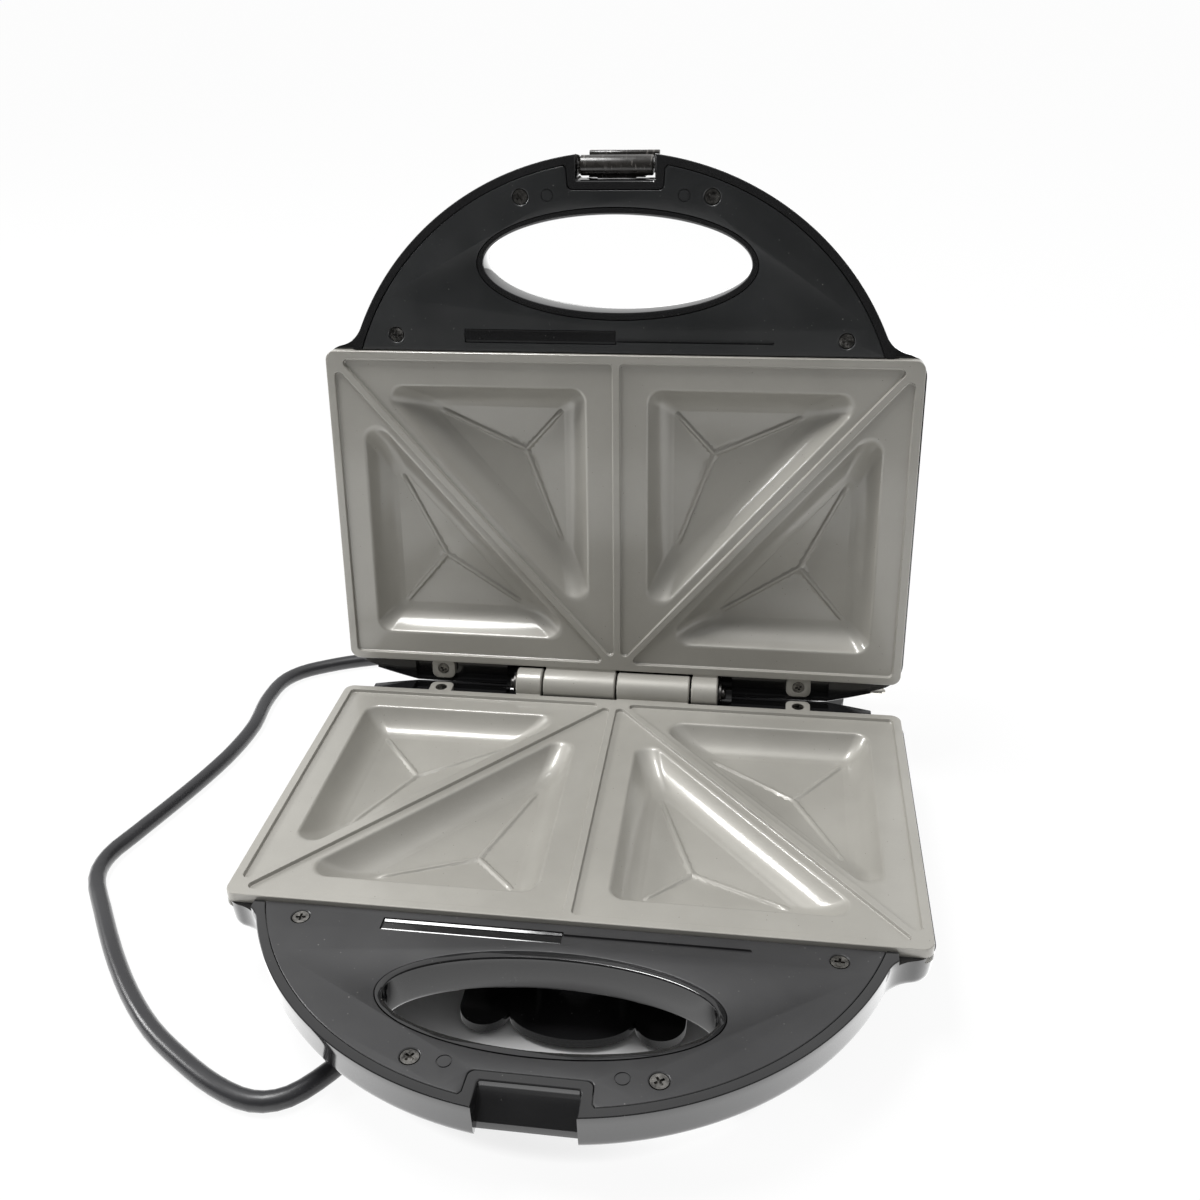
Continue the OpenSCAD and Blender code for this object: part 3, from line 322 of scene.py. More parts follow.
# One for each slot of the record: colour, worn colour, gloss range, size and strength of the grain
MATERIALS = {
    "housing": plastic("gloss_black", (0.0075, 0.0075, 0.008), (0.012, 0.012, 0.0125), (0.07, 0.17),
                       900, 0.03, dust=0.25, coat=0.4),
    # One cover plastic in two copies: the lower cover's lighter colour is painted reflection, the upper
    # cover's darker colour is painted shade
    "cover_lower": plastic("matt_black_cover_lit_copy", (0.022, 0.022, 0.023), (0.032, 0.032, 0.033),
                           (0.34, 0.46), 2600, 0.22, dust=0.5),
    "cover_upper": plastic("matt_black_cover_shaded_copy", (0.011, 0.012, 0.0125), (0.017, 0.018, 0.019),
                           (0.34, 0.46), 2600, 0.2, dust=0.5),
    "nonstick": nonstick("nonstick_grey", (0.31, 0.3, 0.272), (0.36, 0.349, 0.318), (0.4, 0.52)),
    "dark_screws": metal("blackened_steel", (0.03, 0.029, 0.028), (0.34, 0.33, 0.31), (0.12, 0.3), 420),
    "element_sheath": metal("element_sheath", (0.2, 0.19, 0.18), (0.3, 0.27, 0.23), (0.4, 0.6), 120),
    "steel_strip": metal("zinc_strip", (0.55, 0.56, 0.56), (0.68, 0.68, 0.66), (0.3, 0.45), 160),
    "steel_screws": metal("zinc_screws", (0.6, 0.6, 0.59), (0.7, 0.7, 0.68), (0.25, 0.4), 400),
    "reflector_sheet": metal("rolled_aluminium", (0.72, 0.73, 0.74), (0.82, 0.82, 0.83), (0.18, 0.3),
                             200, stretch=(1, 0.1, 1)),
    "ceramic": plastic("ceramic", (0.7, 0.66, 0.58), (0.62, 0.58, 0.5), (0.5, 0.65), 800, 0.2),
    "fuse_body": plastic("glass_sleeve", (0.72, 0.68, 0.56), (0.6, 0.56, 0.44), (0.5, 0.7), 1200, 0.3),
    "nylon": plastic("natural_nylon", (0.74, 0.73, 0.66), (0.68, 0.66, 0.58), (0.35, 0.5), 900, 0.1),
    "brass_screws": metal("brass", (0.62, 0.47, 0.2), (0.7, 0.55, 0.28), (0.25, 0.4), 400),
    "rubber": plastic("foot_rubber", (0.02, 0.02, 0.02), (0.035, 0.035, 0.034), (0.6, 0.8), 1400, 0.3,
                      dust=0.4),
    "pin_steel": metal("bright_steel", (0.06, 0.058, 0.056), (0.12, 0.116, 0.112), (0.3, 0.45), 260,
                       stretch=(0.2, 1, 1)),
    "cord_pvc": plastic("cord_pvc", (0.014, 0.014, 0.016), (0.024, 0.024, 0.026), (0.3, 0.42),
                        1500, 0.12, dust=0.3),
    "plug_pvc": plastic("plug_pvc", (0.016, 0.016, 0.017), (0.026, 0.026, 0.027), (0.32, 0.45),
                        1200, 0.15, dust=0.3),
    "plug_metal": metal("nickel_plate", (0.62, 0.6, 0.55), (0.7, 0.68, 0.63), (0.15, 0.3), 300),
    "red_lens": clear_lens("red_lens_glass", (0.7, 0.03, 0.02)),
    "green_lens": clear_lens("green_lens_glass", (0.03, 0.5, 0.1)),
    "lamp_glass": clear_lens("lamp_glass", (0.95, 0.8, 0.7)),
    "latch_plastic": worn_gloss("worn_latch", (0.022, 0.02, 0.018)),
}

for row in frame["record"]["subparts"]:
    mesh = frame["nodes"][row["node"]].data
    mesh.materials.clear()
    mesh.materials.append(MATERIALS[row["material_slot"]])


# ---------------- mesh helpers

def soften(obj, angle):
    obj.data.shade_smooth()
    obj.data.set_sharp_from_angle(angle=math.radians(angle))


def arc(centre, r, a, b, n):
    """Points along n equal steps of an arc from a to b degrees."""
    t = np.radians(np.linspace(a, b, n + 1))
    return np.column_stack([centre[0] + r * np.cos(t), centre[1] + r * np.sin(t)])


def circles_meet(p, rp, q, rq):
    """Where two circles cross, on the right going from the first to the second."""
    p, q = np.array(p, float), np.array(q, float)
    d = np.linalg.norm(q - p)
    along = (rp * rp - rq * rq + d * d) / (2 * d)
    up = math.sqrt(rp * rp - along * along)
    u = (q - p) / d
    return p + along * u + up * np.array([u[1], -u[0]])


FRONT_C = np.array([HALF_W - FRONT_R, FRONT_R - BODY_FRONT])
HOLLOW_C = circles_meet((0, HANDLE_CY), HANDLE_R + HOLLOW_R, FRONT_C, FRONT_R + HOLLOW_R)
HOLLOW_A = math.degrees(math.atan2(HOLLOW_C[1] - HANDLE_CY, HOLLOW_C[0]))
TURN_A = math.degrees(math.atan2(HOLLOW_C[1] - FRONT_C[1], HOLLOW_C[0] - FRONT_C[0]))
BACK_CX = HALF_W - BACK_R
BACK_CY = BACK_BOW - BOW_R + math.sqrt((BOW_R - BACK_R) ** 2 - BACK_CX ** 2)
BACK_A = math.degrees(math.atan2(BACK_CX, BACK_CY - BACK_BOW + BOW_R))


def outline(s):
    """The casing's outline moved inwards by s, as the part's source has it but finer."""
    half = np.vstack([
        arc((0, HANDLE_CY), HANDLE_R - s, 270, 360 + HOLLOW_A, 72),
        arc(HOLLOW_C, HOLLOW_R + s, 180 + HOLLOW_A, 180 + TURN_A, 14),
        arc(FRONT_C, max(FRONT_R - s, 0.5), TURN_A, 0, 14),
        arc((BACK_CX, BACK_CY), max(BACK_R - s, 0.5), 0, 90 - BACK_A, 12),
        arc((0, BACK_BOW - BOW_R), BOW_R - s, 90 - BACK_A, 90, 24),
    ])
    other = half[::-1] * (-1, 1)
    return np.vstack([half, other[1:-1]])


def round_box(hx, y0, y1, r, n):
    """A rectangle of half width hx, with its corners rounded by r in n steps."""
    return np.vstack([
        arc((hx - r, y0 + r), r, -90, 0, n), arc((hx - r, y1 - r), r, 0, 90, n),
        arc((r - hx, y1 - r), r, 90, 180, n), arc((r - hx, y0 + r), r, 180, 270, n)])


def loft(rings):
    """Vertices and faces of a closed skin through equal rings, lowest first."""
    n = len(rings[0][0])
    verts = np.vstack([np.column_stack([ring, np.full(n, z)]) for ring, z in rings])
    faces = [tuple(range(n))[::-1]]
    for k in range(len(rings) - 1):
        for i in range(n):
            a, b = k * n + i, k * n + (i + 1) % n
            faces.append((a, b, b + n, a + n))
    faces.append(tuple(range((len(rings) - 1) * n, len(rings) * n)))
    return verts, faces


def solid(name, verts, faces):
    """A working mesh in mm, for cutting."""
    mesh = bpy.data.meshes.new(name)
    mesh.from_pydata([tuple(v) for v in verts], [], [tuple(f) for f in faces])
    bm = bmesh.new()
    bm.from_mesh(mesh)
    bmesh.ops.remove_doubles(bm, verts=bm.verts, dist=1e-4)
    bmesh.ops.recalc_face_normals(bm, faces=bm.faces)
    bm.to_mesh(mesh)
    bm.free()
    return placed(name, mesh)


def prism(name, loops, z0, z1):
    """An upright solid between z0 and z1 from an outline and its holes."""
    bm = bmesh.new()
    edges = []
    for loop in loops:
        verts = [bm.verts.new((p[0], p[1], 0)) for p in loop]
        edges += [bm.edges.new((verts[i], verts[(i + 1) % len(verts)])) for i in range(len(verts))]
    bmesh.ops.triangle_fill(bm, use_beauty=True, use_dissolve=False, edges=edges)
    bm.verts.index_update()
    caps = [[v.index for v in face.verts] for face in bm.faces]
    flat = np.array([v.co[:2] for v in bm.verts])
    bm.free()
    n = len(flat)
    faces = caps + [[i + n for i in cap[::-1]] for cap in caps]
    start = 0
    for loop in loops:
        m = len(loop)
        for i in range(m):
            a, b = start + i, start + (i + 1) % m
            faces.append([a, b, b + n, a + n])
        start += m
    verts = np.vstack([np.column_stack([flat, np.full(n, z)]) for z in (z0, z1)])
    return solid(name, verts, faces)


def across(name, width, profile, x=0.0):
    """A solid along X, from a profile in Y and Z."""
    n = len(profile)
    verts = [(x + s * width / 2, p[0], p[1]) for s in (-1, 1) for p in profile]
    faces = [tuple(range(n)), tuple(range(2 * n - 1, n - 1, -1))]
    faces += [(i, i + n, (i + 1) % n + n, (i + 1) % n) for i in range(n)]
    return solid(name, verts, faces)


def full_turn(n):
    return np.radians(np.arange(n) * 360.0 / n)


def turned_faces(rings, n):
    """Two ends and the sides between rings of n points that follow each other."""
    last = (rings - 1) * n
    faces = [tuple(range(n)), tuple(range(last + n - 1, last - 1, -1))]
    for low in range(0, last, n):
        for i in range(n):
            j = (i + 1) % n
            faces.append((low + i, low + n + i, low + n + j, low + j))
    return faces


def turned_x(name, x0, x1, r, y=0.0, z=0.0, n=96, chamfer=0.0):
    """A cylinder along X, with its ends chamfered."""
    stops = [(x0, r), (x1, r)]
    if chamfer:
        stops = [(x0, r - chamfer), (x0 + chamfer, r), (x1 - chamfer, r), (x1, r - chamfer)]
    t = full_turn(n)
    verts = np.vstack([np.column_stack([np.full(n, x), y + q * np.cos(t), z + q * np.sin(t)])
                       for x, q in stops])
    return solid(name, verts, turned_faces(len(stops), n))


def disc(centre, r, n=48):
    return arc(centre, r, 0, 360 * (n - 1) / n, n - 1)


def oval(a, b):
    """An oval round the middle of the finger hole."""
    t = full_turn(120)
    return np.column_stack([a * np.cos(t), GRIP_Y + b * np.sin(t)])


def apply_modifiers(obj):
    dg = bpy.context.evaluated_depsgraph_get()
    mesh = bpy.data.meshes.new_from_object(obj.evaluated_get(dg))
    obj.modifiers.clear()
    obj.data = mesh


def combine(target, tools, operation):
    """Adds the tools to the target or cuts them out of it, and uses them up."""
    for tool in tools:
        mod = target.modifiers.new("cut", "BOOLEAN")
        mod.object = tool
        mod.operation = operation
        mod.solver = "EXACT"
        apply_modifiers(target)
        bpy.data.objects.remove(tool)


def finished(target, name, material, place, flip, body, nodes, smooth=28.0, join=()):
    """Turns a working solid in mm into a piece of the scene that stands for CAD nodes.

    Its faces are flipped where place mirrors them, and the solids in join become part of it.
    """
    for other in join:
        bm = bmesh.new()
        bm.from_mesh(target.data)
        bm.from_mesh(other.data)
        bm.to_mesh(target.data)
        bm.free()
        bpy.data.objects.remove(other)
    mesh = target.data
    co = np.zeros(len(mesh.vertices) * 3)
    mesh.vertices.foreach_get("co", co)
    mesh.vertices.foreach_set("co", place(co.reshape(-1, 3)).ravel())
    bm = bmesh.new()
    bm.from_mesh(mesh)
    if flip:
        bmesh.ops.reverse_faces(bm, faces=bm.faces)
    bm.to_mesh(mesh)
    bm.free()
    mesh.materials.clear()
    mesh.materials.append(MATERIALS[material])
    for polygon in mesh.polygons:
        polygon.material_index = 0
    target.name = name
    mesh.name = name
    soften(target, smooth)
    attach(target, body)
    if nodes:
        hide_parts(*nodes)


# ---------------- cord

FLOOR_GAP = 0.02


def make_cord():
    """The flex: a round line along the cord's path, just above the floor."""
    curve = bpy.data.curves.new("flex", "CURVE")
    curve.dimensions = "3D"
    line = smooth_path(CORD_PATH, 3)
    spline = curve.splines.new("POLY")
    spline.points.add(len(line) - 1)
    for point, (x, y, z) in zip(spline.points, line):
        point.co = (x * MM, (y + HINGE_Y) * MM, max(z, CORD_D / 2 + FLOOR_GAP) * MM, 1)
    curve.bevel_depth = CORD_D / 2 * MM
    curve.bevel_resolution = 8
    curve.use_fill_caps = True
    curve.materials.append(MATERIALS["cord_pvc"])
    flex = placed("flex", curve)
    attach(flex, "base")
    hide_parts("power_cord")


make_cord()


# ---------------- casing

# A cut that leaves the part at its face goes on to one of these heights above it
ABOVE, ABOVE_HINGE, ABOVE_COVER = 5.0, 2, 1
# Insets from the outline and heights: the wall's rounded foot, and its edge at the face
WALL_FOOT = [(4.6, TRAY_Z), (3.2, -15.3), (2.2, -14.8), (1.5, -14.0), (1.15, -13.0)]
WALL_EDGE = [(0.06, -2.75), (0.3, -2.48), (0.65, FACE_Z)]
# Between them it leans in by WALL_LEAN on its way down to WALL_LOW
WALL_LEAN, WALL_LOW, WALL_H = 1.0, -12.0, 8.9
# The belly's insets and heights, and the back edge and corner radius of its ring at no inset
BELLY = [(6, -13), (12, -19), (20, -25), (28, -29.5), (36, -32.5), (44, BELLY_Z)]
BELLY_BACK, BELLY_CORNER = 8.5, 26
# The finger hole and the notch flare where they meet the underside and the face
GRIP_STEPS = [(1.4, TRAY_Z - 5), (1.4, TRAY_Z - 0.1), (0.7, -15.1), (0.2, -14.4), (0.0, -13.6),
              (0.0, -3.2), (0.1, -2.85), (0.32, -2.55), (0.7, FACE_Z), (0.7, ABOVE)]
NOTCH_STEPS = [(0.9, TRAY_Z - 5), (0.9, TRAY_Z), (0.4, -15.1), (0.0, -14.5), (0.0, -2.95),
               (0.12, -2.65), (0.4, FACE_Z), (0.4, ABOVE)]
NOTCH_CORNER, NOTCH_OPEN = 1.0, -230
COVER_GAP, SEAT_CORNER, PLATE_GAP = 0.25, 2.2, 0.3
# Hollows below the plate: roomy under its foot, and deep only inside the belly
WELL_ROOM = {"side": 4.0, "front": 3.8, "back": 2.3, "corner": 4.0, "low": -12.6, "high": EDGE_Z}
WELL_DEEP = {"side": 14.0, "front": 14.0, "back": 9.0, "corner": 20.0, "low": -16.6, "high": -12.0}
# Beside the plate the casing's rim lies lower than the face
SIDE_X, SIDE_Z, SIDE_FRONT, SIDE_BACK, SIDE_W = 101.5, -4.4, -PLATE_FRONT - 8, 20, 20
# Behind the hinge axis the rim is bevelled by half the opening angle, to clear the other half's
BEVEL = math.radians(OPEN_ANGLE / 2)
BEVEL_GAP, BEVEL_FAR, BEVEL_W = 0.17, 25.0, 240
DECK_W, DECK_BACK = 170, 0.8
TROUGH_R, TROUGH_END = 7.1, 5.5
WEB_FRONT, WEB_Z = -9.7, -6.4


def belly_rings():
    """The belly's rings, rounded between the listed ones; back edge and corners move in less."""
    line = smooth_path([(k, z, 0) for k, z in BELLY], 5)[::-1]
    return [(round_box(HALF_W - k, k - BODY_FRONT, BELLY_BACK - 0.25 * k, BELLY_CORNER - k / 7, 24), z)
            for k, z in line[:, :2]]


def notch_rings():
    """The latch notch's cutter, open to the front."""
    rings = []
    for k, z in NOTCH_STEPS:
        half, back, r = NOTCH_W / 2 + k, k - NOTCH_BACK, NOTCH_CORNER
        ring = np.vstack([(half, NOTCH_OPEN), arc((half - r, back - r), r, 0, 90, 5),
                          arc((r - half, back - r), r, 90, 180, 5), (-half, NOTCH_OPEN)])
        rings.append((ring, z))
    return rings


def cover_outline(s, corner):
    """The handle cover's outline moved inwards by s: a D with the latch notch in its front."""
    r = HANDLE_R - STRIP - s
    back = -PLATE_FRONT - PLATE_GAP - s
    half = NOTCH_W / 2 + STRIP + s
    depth = -NOTCH_BACK + STRIP + s
    a0 = math.degrees(math.asin((back - HANDLE_CY) / r))
    a1 = -math.degrees(math.acos(half / r))
    right = arc((0, HANDLE_CY), r, a0, a1, 90)[:-1]
    blunt = arc((0, HANDLE_CY), r - 1.2, a1, a1 + 0.3, 1)[1:]
    inner = arc((half - corner, depth - corner), corner, 0, 90, 6)
    points = np.vstack([right, blunt, inner])
    return np.vstack([points, points[::-1] * (-1, 1)])


def well_hollow(side, front, back, corner, low, high):
    """A hollow's cutter, with how far it stays from the casing's sides and front and the plate's back."""
    ring = round_box(HALF_W - side, front - BODY_FRONT, -PLATE_BACK - back, corner, 12)
    return prism("hollow", [ring], low, high)


def side_cut(x0):
    """The cutter for the low rim on one side, with its left edge at x0."""
    x1 = x0 + SIDE_W
    ring = [(x0, SIDE_FRONT), (x1, SIDE_FRONT), (x1, SIDE_BACK), (x0, SIDE_BACK)]
    return prism("side", [ring], SIDE_Z, ABOVE)


def hinge_cuts():
    """Cutters by the hinge: the bevel, the deck for the ears, the knuckles' trough and their webs."""
    tan = math.tan(BEVEL)
    slack = BEVEL_GAP / math.cos(BEVEL)
    near = (-FACE_Z - slack) / tan
    wedge = [(near, FACE_Z), (BEVEL_FAR, -BEVEL_FAR * tan - slack), (BEVEL_FAR, ABOVE_HINGE),
             (near, ABOVE_HINGE)]
    deck = [(-PLATE_BACK - 1, DECK_Z), (DECK_BACK, DECK_Z), (DECK_BACK, ABOVE_HINGE),
            (-PLATE_BACK - 1, ABOVE_HINGE)]
    web = [(WEB_FRONT, WEB_Z), (0, WEB_Z), (0, ABOVE_HINGE), (WEB_FRONT, ABOVE_HINGE)]
    return [across("wedge", BEVEL_W, wedge), across("deck", DECK_W, deck),
            turned_x("trough", -HINGE_HALF - TROUGH_END, HINGE_HALF + TROUGH_END, TROUGH_R),
            across("web", 2 * HINGE_HALF + 1, web)]


def casing(name):
    """The outside of one half, solid inside, with its cover seat, grip hole, notch and plate well."""
    wall = [(WALL_LEAN - WALL_LEAN * t, WALL_LOW + t * WALL_H) for t in (0, 0.25, 0.5, 0.75, 0.94)]
    body = solid(name, *loft([(outline(s), z) for s, z in WALL_FOOT + wall + WALL_EDGE]))
    combine(body, [solid("bowl", *loft(belly_rings()))], "UNION")
    seat = [cover_outline(-COVER_GAP, SEAT_CORNER), oval(GRIP_OUT_A, GRIP_OUT_B)]
    grip = [(oval(GRIP_A + k, GRIP_B + k), z) for k, z in GRIP_STEPS]
    well = round_box(PLATE_W / 2 + PLATE_GAP, -PLATE_FRONT - PLATE_GAP, -PLATE_BACK + PLATE_GAP,
                     PLATE_CORNER + PLATE_GAP, 12)
    combine(body, [prism("seat", seat, SEAT_Z, ABOVE), solid("grip", *loft(grip)),
                   solid("notch", *loft(notch_rings())), prism("well", [well], EDGE_Z - 0.2, ABOVE),
                   well_hollow(**WELL_ROOM), well_hollow(**WELL_DEEP), side_cut(SIDE_X),
                   side_cut(-SIDE_X - SIDE_W), *hinge_cuts()], "DIFFERENCE")
    return body


CLEAT_X, CLEAT_Y, CLEAT_T = 2.5, -145.3, 3.0
LOBE_X, LOBE_R = 28, 8
MIDDLE_A, MIDDLE_B = 20, 10.5
STEM_HALF, STEM_FRONT, STEM_BACK = 22, -123.3, -100
NECK_Y, NECK_R = -122, 17


def cleat_pieces():
    """The cord cleat under the base: a flange with three lobes in front, on a neck."""
    x, y = CLEAT_X, CLEAT_Y
    t = np.radians(np.linspace(183, 357, 40))
    middle = np.column_stack([x + MIDDLE_A * np.cos(t), y - 0.2 + MIDDLE_B * np.sin(t)])
    right = np.array([(LOBE_X + LOBE_R, STEM_FRONT), (STEM_HALF, STEM_FRONT), (STEM_HALF, STEM_BACK)])
    flange = np.vstack([arc((x - LOBE_X, y), LOBE_R, 180, 356, 24), middle,
                        arc((x + LOBE_X, y), LOBE_R, 184, 360, 24),
                        right + (x, 0), right[::-1] * (-1, 1) + (x, 0)])
    low = BELLY_Z - 0.6
    return [prism("flange", [flange], low, low + CLEAT_T),
            prism("neck", [disc((x, NECK_Y), NECK_R, 64)], BELLY_Z + 1, TRAY_Z + 1)]


# The slope in the lower notch that the latch's hook snaps over, from its top round to its underside
RAMP = [(0.4 - NOTCH_BACK, -4.2), (-NOTCH_BACK, -4.4), (-201.4, -5.2), (-205.6, -11.4), (-206.1, -12.4),
        (-206.1, -13.9), (-205.6, -14.4), (0.4 - NOTCH_BACK, -14.4)]
LENS_X, LENS_Y, LENS_R = 14, -88, 3.1

lower = casing("lower")
combine(lower, [*cleat_pieces(), across("ramp", NOTCH_W + 1, RAMP)], "UNION")
finished(lower, "lower_casing", "housing", base_point, False, "base", ["lower_shell"])

upper = casing("upper")
combine(upper, [prism("lens", [disc((x, LENS_Y), LENS_R)], BELLY_Z - 6, BELLY_Z + 4)
                for x in (-LENS_X, LENS_X)], "DIFFERENCE")
finished(upper, "upper_casing", "housing", lid_half_point, True, "lid", ["upper_shell"])


# ---------------- handle covers

COVER_CORNER = 1.8
# Insets and heights of the cover's edge, and of the edge of its oval hole
COVER_STEPS = [(0.0, SEAT_Z), (0.0, FACE_Z - 0.45), (0.1, FACE_Z - 0.2), (0.28, FACE_Z - 0.05),
               (0.55, FACE_Z)]
HOLE_STEPS = [(0.3, SEAT_Z - 1), (0.3, FACE_Z - 0.3), (0.42, FACE_Z - 0.1), (0.7, FACE_Z),
              (0.7, ABOVE_COVER)]
SCREWS = [(-83.9, -144.1), (83.9, -144.1), (-34.5, -194.8), (34.5, -194.8)]
SINK_STEPS = [(2.95, SEAT_Z + 0.9), (2.95, FACE_Z - 0.25), (3.25, FACE_Z), (3.25, ABOVE_COVER)]
MARK_X, MARK_Y, MARK_R, MARK_IN_R = 24.6, -195.4, 2.3, 1.9
# The long groove: wide on the left, where a ridged strip lies in it, and narrow on the right
GROOVE_X, GROOVE_HALF, GROOVE_FRONT, GROOVE_BACK = -28.6, 28.8, -146.7, -141.4
LINE_X0, LINE_X1, LINE_Y, LINE_HALF = 0.2, 57.2, -143.1, 0.8
RIDGED_W = 56.6
RIDGED = [(-146.5, -1.0), (-146.5, -0.55), (-146.0, -0.33), (-146.0, -0.85), (-142.4, -0.85),
          (-142.5, -0.6), (-141.75, -0.29), (-141.6, -1.0)]


def cover(name, material, place, flip, body, node):
    """A handle cover with its hole, grooves, sunk screw holes and round marks, and the ridged strip."""
    top = solid("top", *loft([(cover_outline(k, COVER_CORNER + k), z) for k, z in COVER_STEPS]))
    hole = [(oval(GRIP_OUT_A + k, GRIP_OUT_B + k), z) for k, z in HOLE_STEPS]
    wide = round_box(GROOVE_HALF, GROOVE_FRONT, GROOVE_BACK, 0.4, 3) + (GROOVE_X, 0)
    narrow = np.vstack([(LINE_X0, LINE_Y - LINE_HALF), arc((LINE_X1, LINE_Y), LINE_HALF, -90, 90, 8),
                        (LINE_X0, LINE_Y + LINE_HALF)])
    cuts = [solid("hole", *loft(hole)), prism("wide", [wide], FACE_Z - 1.0, ABOVE_COVER),
            prism("narrow", [narrow], FACE_Z - 0.8, ABOVE_COVER)]
    for at in SCREWS:
        cuts.append(solid("sink", *loft([(disc(at, r), z) for r, z in SINK_STEPS])))
    for x in (-MARK_X, MARK_X):
        cuts.append(prism("mark", [disc((x, MARK_Y), MARK_R), disc((x, MARK_Y), MARK_IN_R)],
                          FACE_Z - 0.3, ABOVE_COVER))
    combine(top, cuts, "DIFFERENCE")
    finished(top, name, material, place, flip, body, [node])
    ridged = across("ridged", RIDGED_W, [(y, FACE_Z + z) for y, z in RIDGED], x=GROOVE_X)
    finished(ridged, name + "_strip", "housing", place, flip, body, [])


cover("lower_cover_piece", "cover_lower", base_point, False, "base", "lower_handle_cover")
cover("upper_cover_piece", "cover_upper", lid_half_point, True, "lid", "upper_handle_cover")


# ---------------- cooking plates

# A plate has four rooms between its rim and its ribs, with a pocket in each
RIB_HALF, RIB_SIDE, RIM_W = 1.1, 5.0, 3.0   # the rib's half width; from its middle to a pocket; the rim
RIB_END = np.array((PLATE_W / 2 - RIM_W, RIM_W - PLATE_FRONT))
RIB_START = np.array((2.5, -PLATE_BACK - RIM_W))
RIB_RUN = (RIB_START - RIB_END) / np.linalg.norm(RIB_START - RIB_END)


def rib_x(y, off):
    """Where the rib's line, moved sideways by off, crosses y."""
    return RIB_END[0] + (off + RIB_RUN[0] * (y - RIB_END[1])) / RIB_RUN[1]


def rib_y(x, off):
    """Where the rib's line, moved sideways by off, crosses x."""
    return RIB_END[1] + (off - RIB_RUN[1] * (x - RIB_END[0])) / -RIB_RUN[0]


def right_triangle(x, y, off):
    """A triangle with its right angle at x, y and its long side along the rib's line moved by off."""
    return np.array([(x, y), (rib_x(y, off), y), (x, rib_y(x, off))])


# An inner and an outer pocket on the plate's right half, their rooms and their lowest points
POCKET_IN = right_triangle(12.0, -124.0, -RIB_SIDE)
POCKET_OUT = right_triangle(PLATE_W / 2 - 13.1, -19.8, RIB_SIDE)
ROOM_IN = right_triangle(RIB_HALF, RIB_END[1], -RIB_HALF)
ROOM_OUT = right_triangle(RIB_END[0], RIB_START[1], RIB_HALF)
DIP_IN, DIP_OUT = np.array((37.0, -97.0)), np.array((71.5, -51.0))
FLOOR_DEPTH, DIP = 8.6, 2.2
ROOM_CORNER, POCKET_CORNER, POCKET_CORNER_LOSS = 2.0, 5.4, 0.3
# Insets and drops of a room's wall, and of the lip of a pocket's wall
ROOM_WALL = [(-0.08, 0.0), (0.0, 0.0), (0.12, -0.05), (0.2, -0.18), (0.34, -1.15), (0.48, -1.33),
             (0.7, -1.4), (0.8, -1.4)]
LIP = [(-1.1, 0.0), (-0.95, 0.0), (-0.6, -0.05), (-0.3, -0.17), (-0.05, -0.38)]
WALL_INSETS = (0.15, 0.4, 0.8, 1.3, 1.9, 2.5, 3.1, 3.7, 4.3, 4.9, 5.5, 6.1, 6.7, 7.3, 8.0, 8.8)
WALL_START, WALL_RUN, WALL_POWER = 0.2, 10.0, 2.2
# Where points lie along a straight side, and where rings lie from a pocket's wall to its dip
SIDE_SHARES = [0.02, 0.05, 0.1, 0.2, 0.35, 0.5, 0.65, 0.8, 0.9, 0.95, 0.98]
FLOOR_SHARES = (0.97, 0.94, 0.9, 0.85, 0.78, 0.7, 0.6, 0.5, 0.4, 0.3, 0.2, 0.12, 0.06, 0.02)
# The floor's planes meet in creases with a raised bead, which fades out over the outermost rings
FLOOR_INSET = 8.0
BEAD_H, BEAD_W, BEAD_START, BEAD_FADE = 0.85, 0.85, 0.08, 0.15
RIM_STEPS = [(0.0, EDGE_Z), (0.0, RIM_Z - 0.5), (0.06, RIM_Z - 0.24), (0.24, RIM_Z - 0.06), (0.5, RIM_Z),
             (0.65, RIM_Z)]
SKIN_T = 2.2


def pocket_wall():
    """Insets and drops of a pocket's wall: a small lip, then steep and easing out onto the floor."""
    return LIP + [(s, -FLOOR_DEPTH * (1 - (1 - (s + WALL_START) / WALL_RUN) ** WALL_POWER))
                  for s in WALL_INSETS]


def segment_distance(p, a, b):
    """Distances of the points p from the line between a and b."""
    ab = b - a
    t = np.clip(((p - a) @ ab) / (ab @ ab), 0, 1)
    return np.linalg.norm(p - (a + t[..., None] * ab), axis=-1)


def edge_distances(p, v):
    """Distances inside each edge of an anticlockwise triangle."""
    out = []
    for i in range(3):
        a, b = v[i], v[(i + 1) % 3]
        d = (b - a) / np.linalg.norm(b - a)
        out.append((p - a) @ np.array([-d[1], d[0]]))
    return np.array(out)


def inset_triangle(v, s):
    """The triangle moved inwards by s, about the centre of the circle that fits in it."""
    a, b, c = (np.linalg.norm(v[1] - v[2]), np.linalg.norm(v[2] - v[0]), np.linalg.norm(v[0] - v[1]))
    centre = (a * v[0] + b * v[1] + c * v[2]) / (a + b + c)
    h = (a + b + c) / 2
    r = math.sqrt((h - a) * (h - b) * (h - c) / h)
    return centre + (v - centre) * (1 - s / r)


def tri_ring(v, s, r, n=20):
    """Points round an anticlockwise triangle moved inwards by s, its corners rounded by r."""
    core = inset_triangle(v, s + r)
    arcs = []
    for i in range(3):
        before, after = v[i] - v[i - 1], v[(i + 1) % 3] - v[i]
        a0 = math.degrees(math.atan2(before[1], before[0])) - 90
        a1 = math.degrees(math.atan2(after[1], after[0])) - 90
        arcs.append(arc(core[i], r, a0, a1 if a1 > a0 else a1 + 360, n))
    points = []
    for i in range(3):
        a, b = arcs[i][-1], arcs[(i + 1) % 3][0]
        points += list(arcs[i]) + [a + (b - a) * t for t in SIDE_SHARES]
    return np.array(points)


def ease(t):
    """0 to 1, starting and ending gently."""
    t = np.clip(t, 0, 1)
    return t * t * (3 - 2 * t)


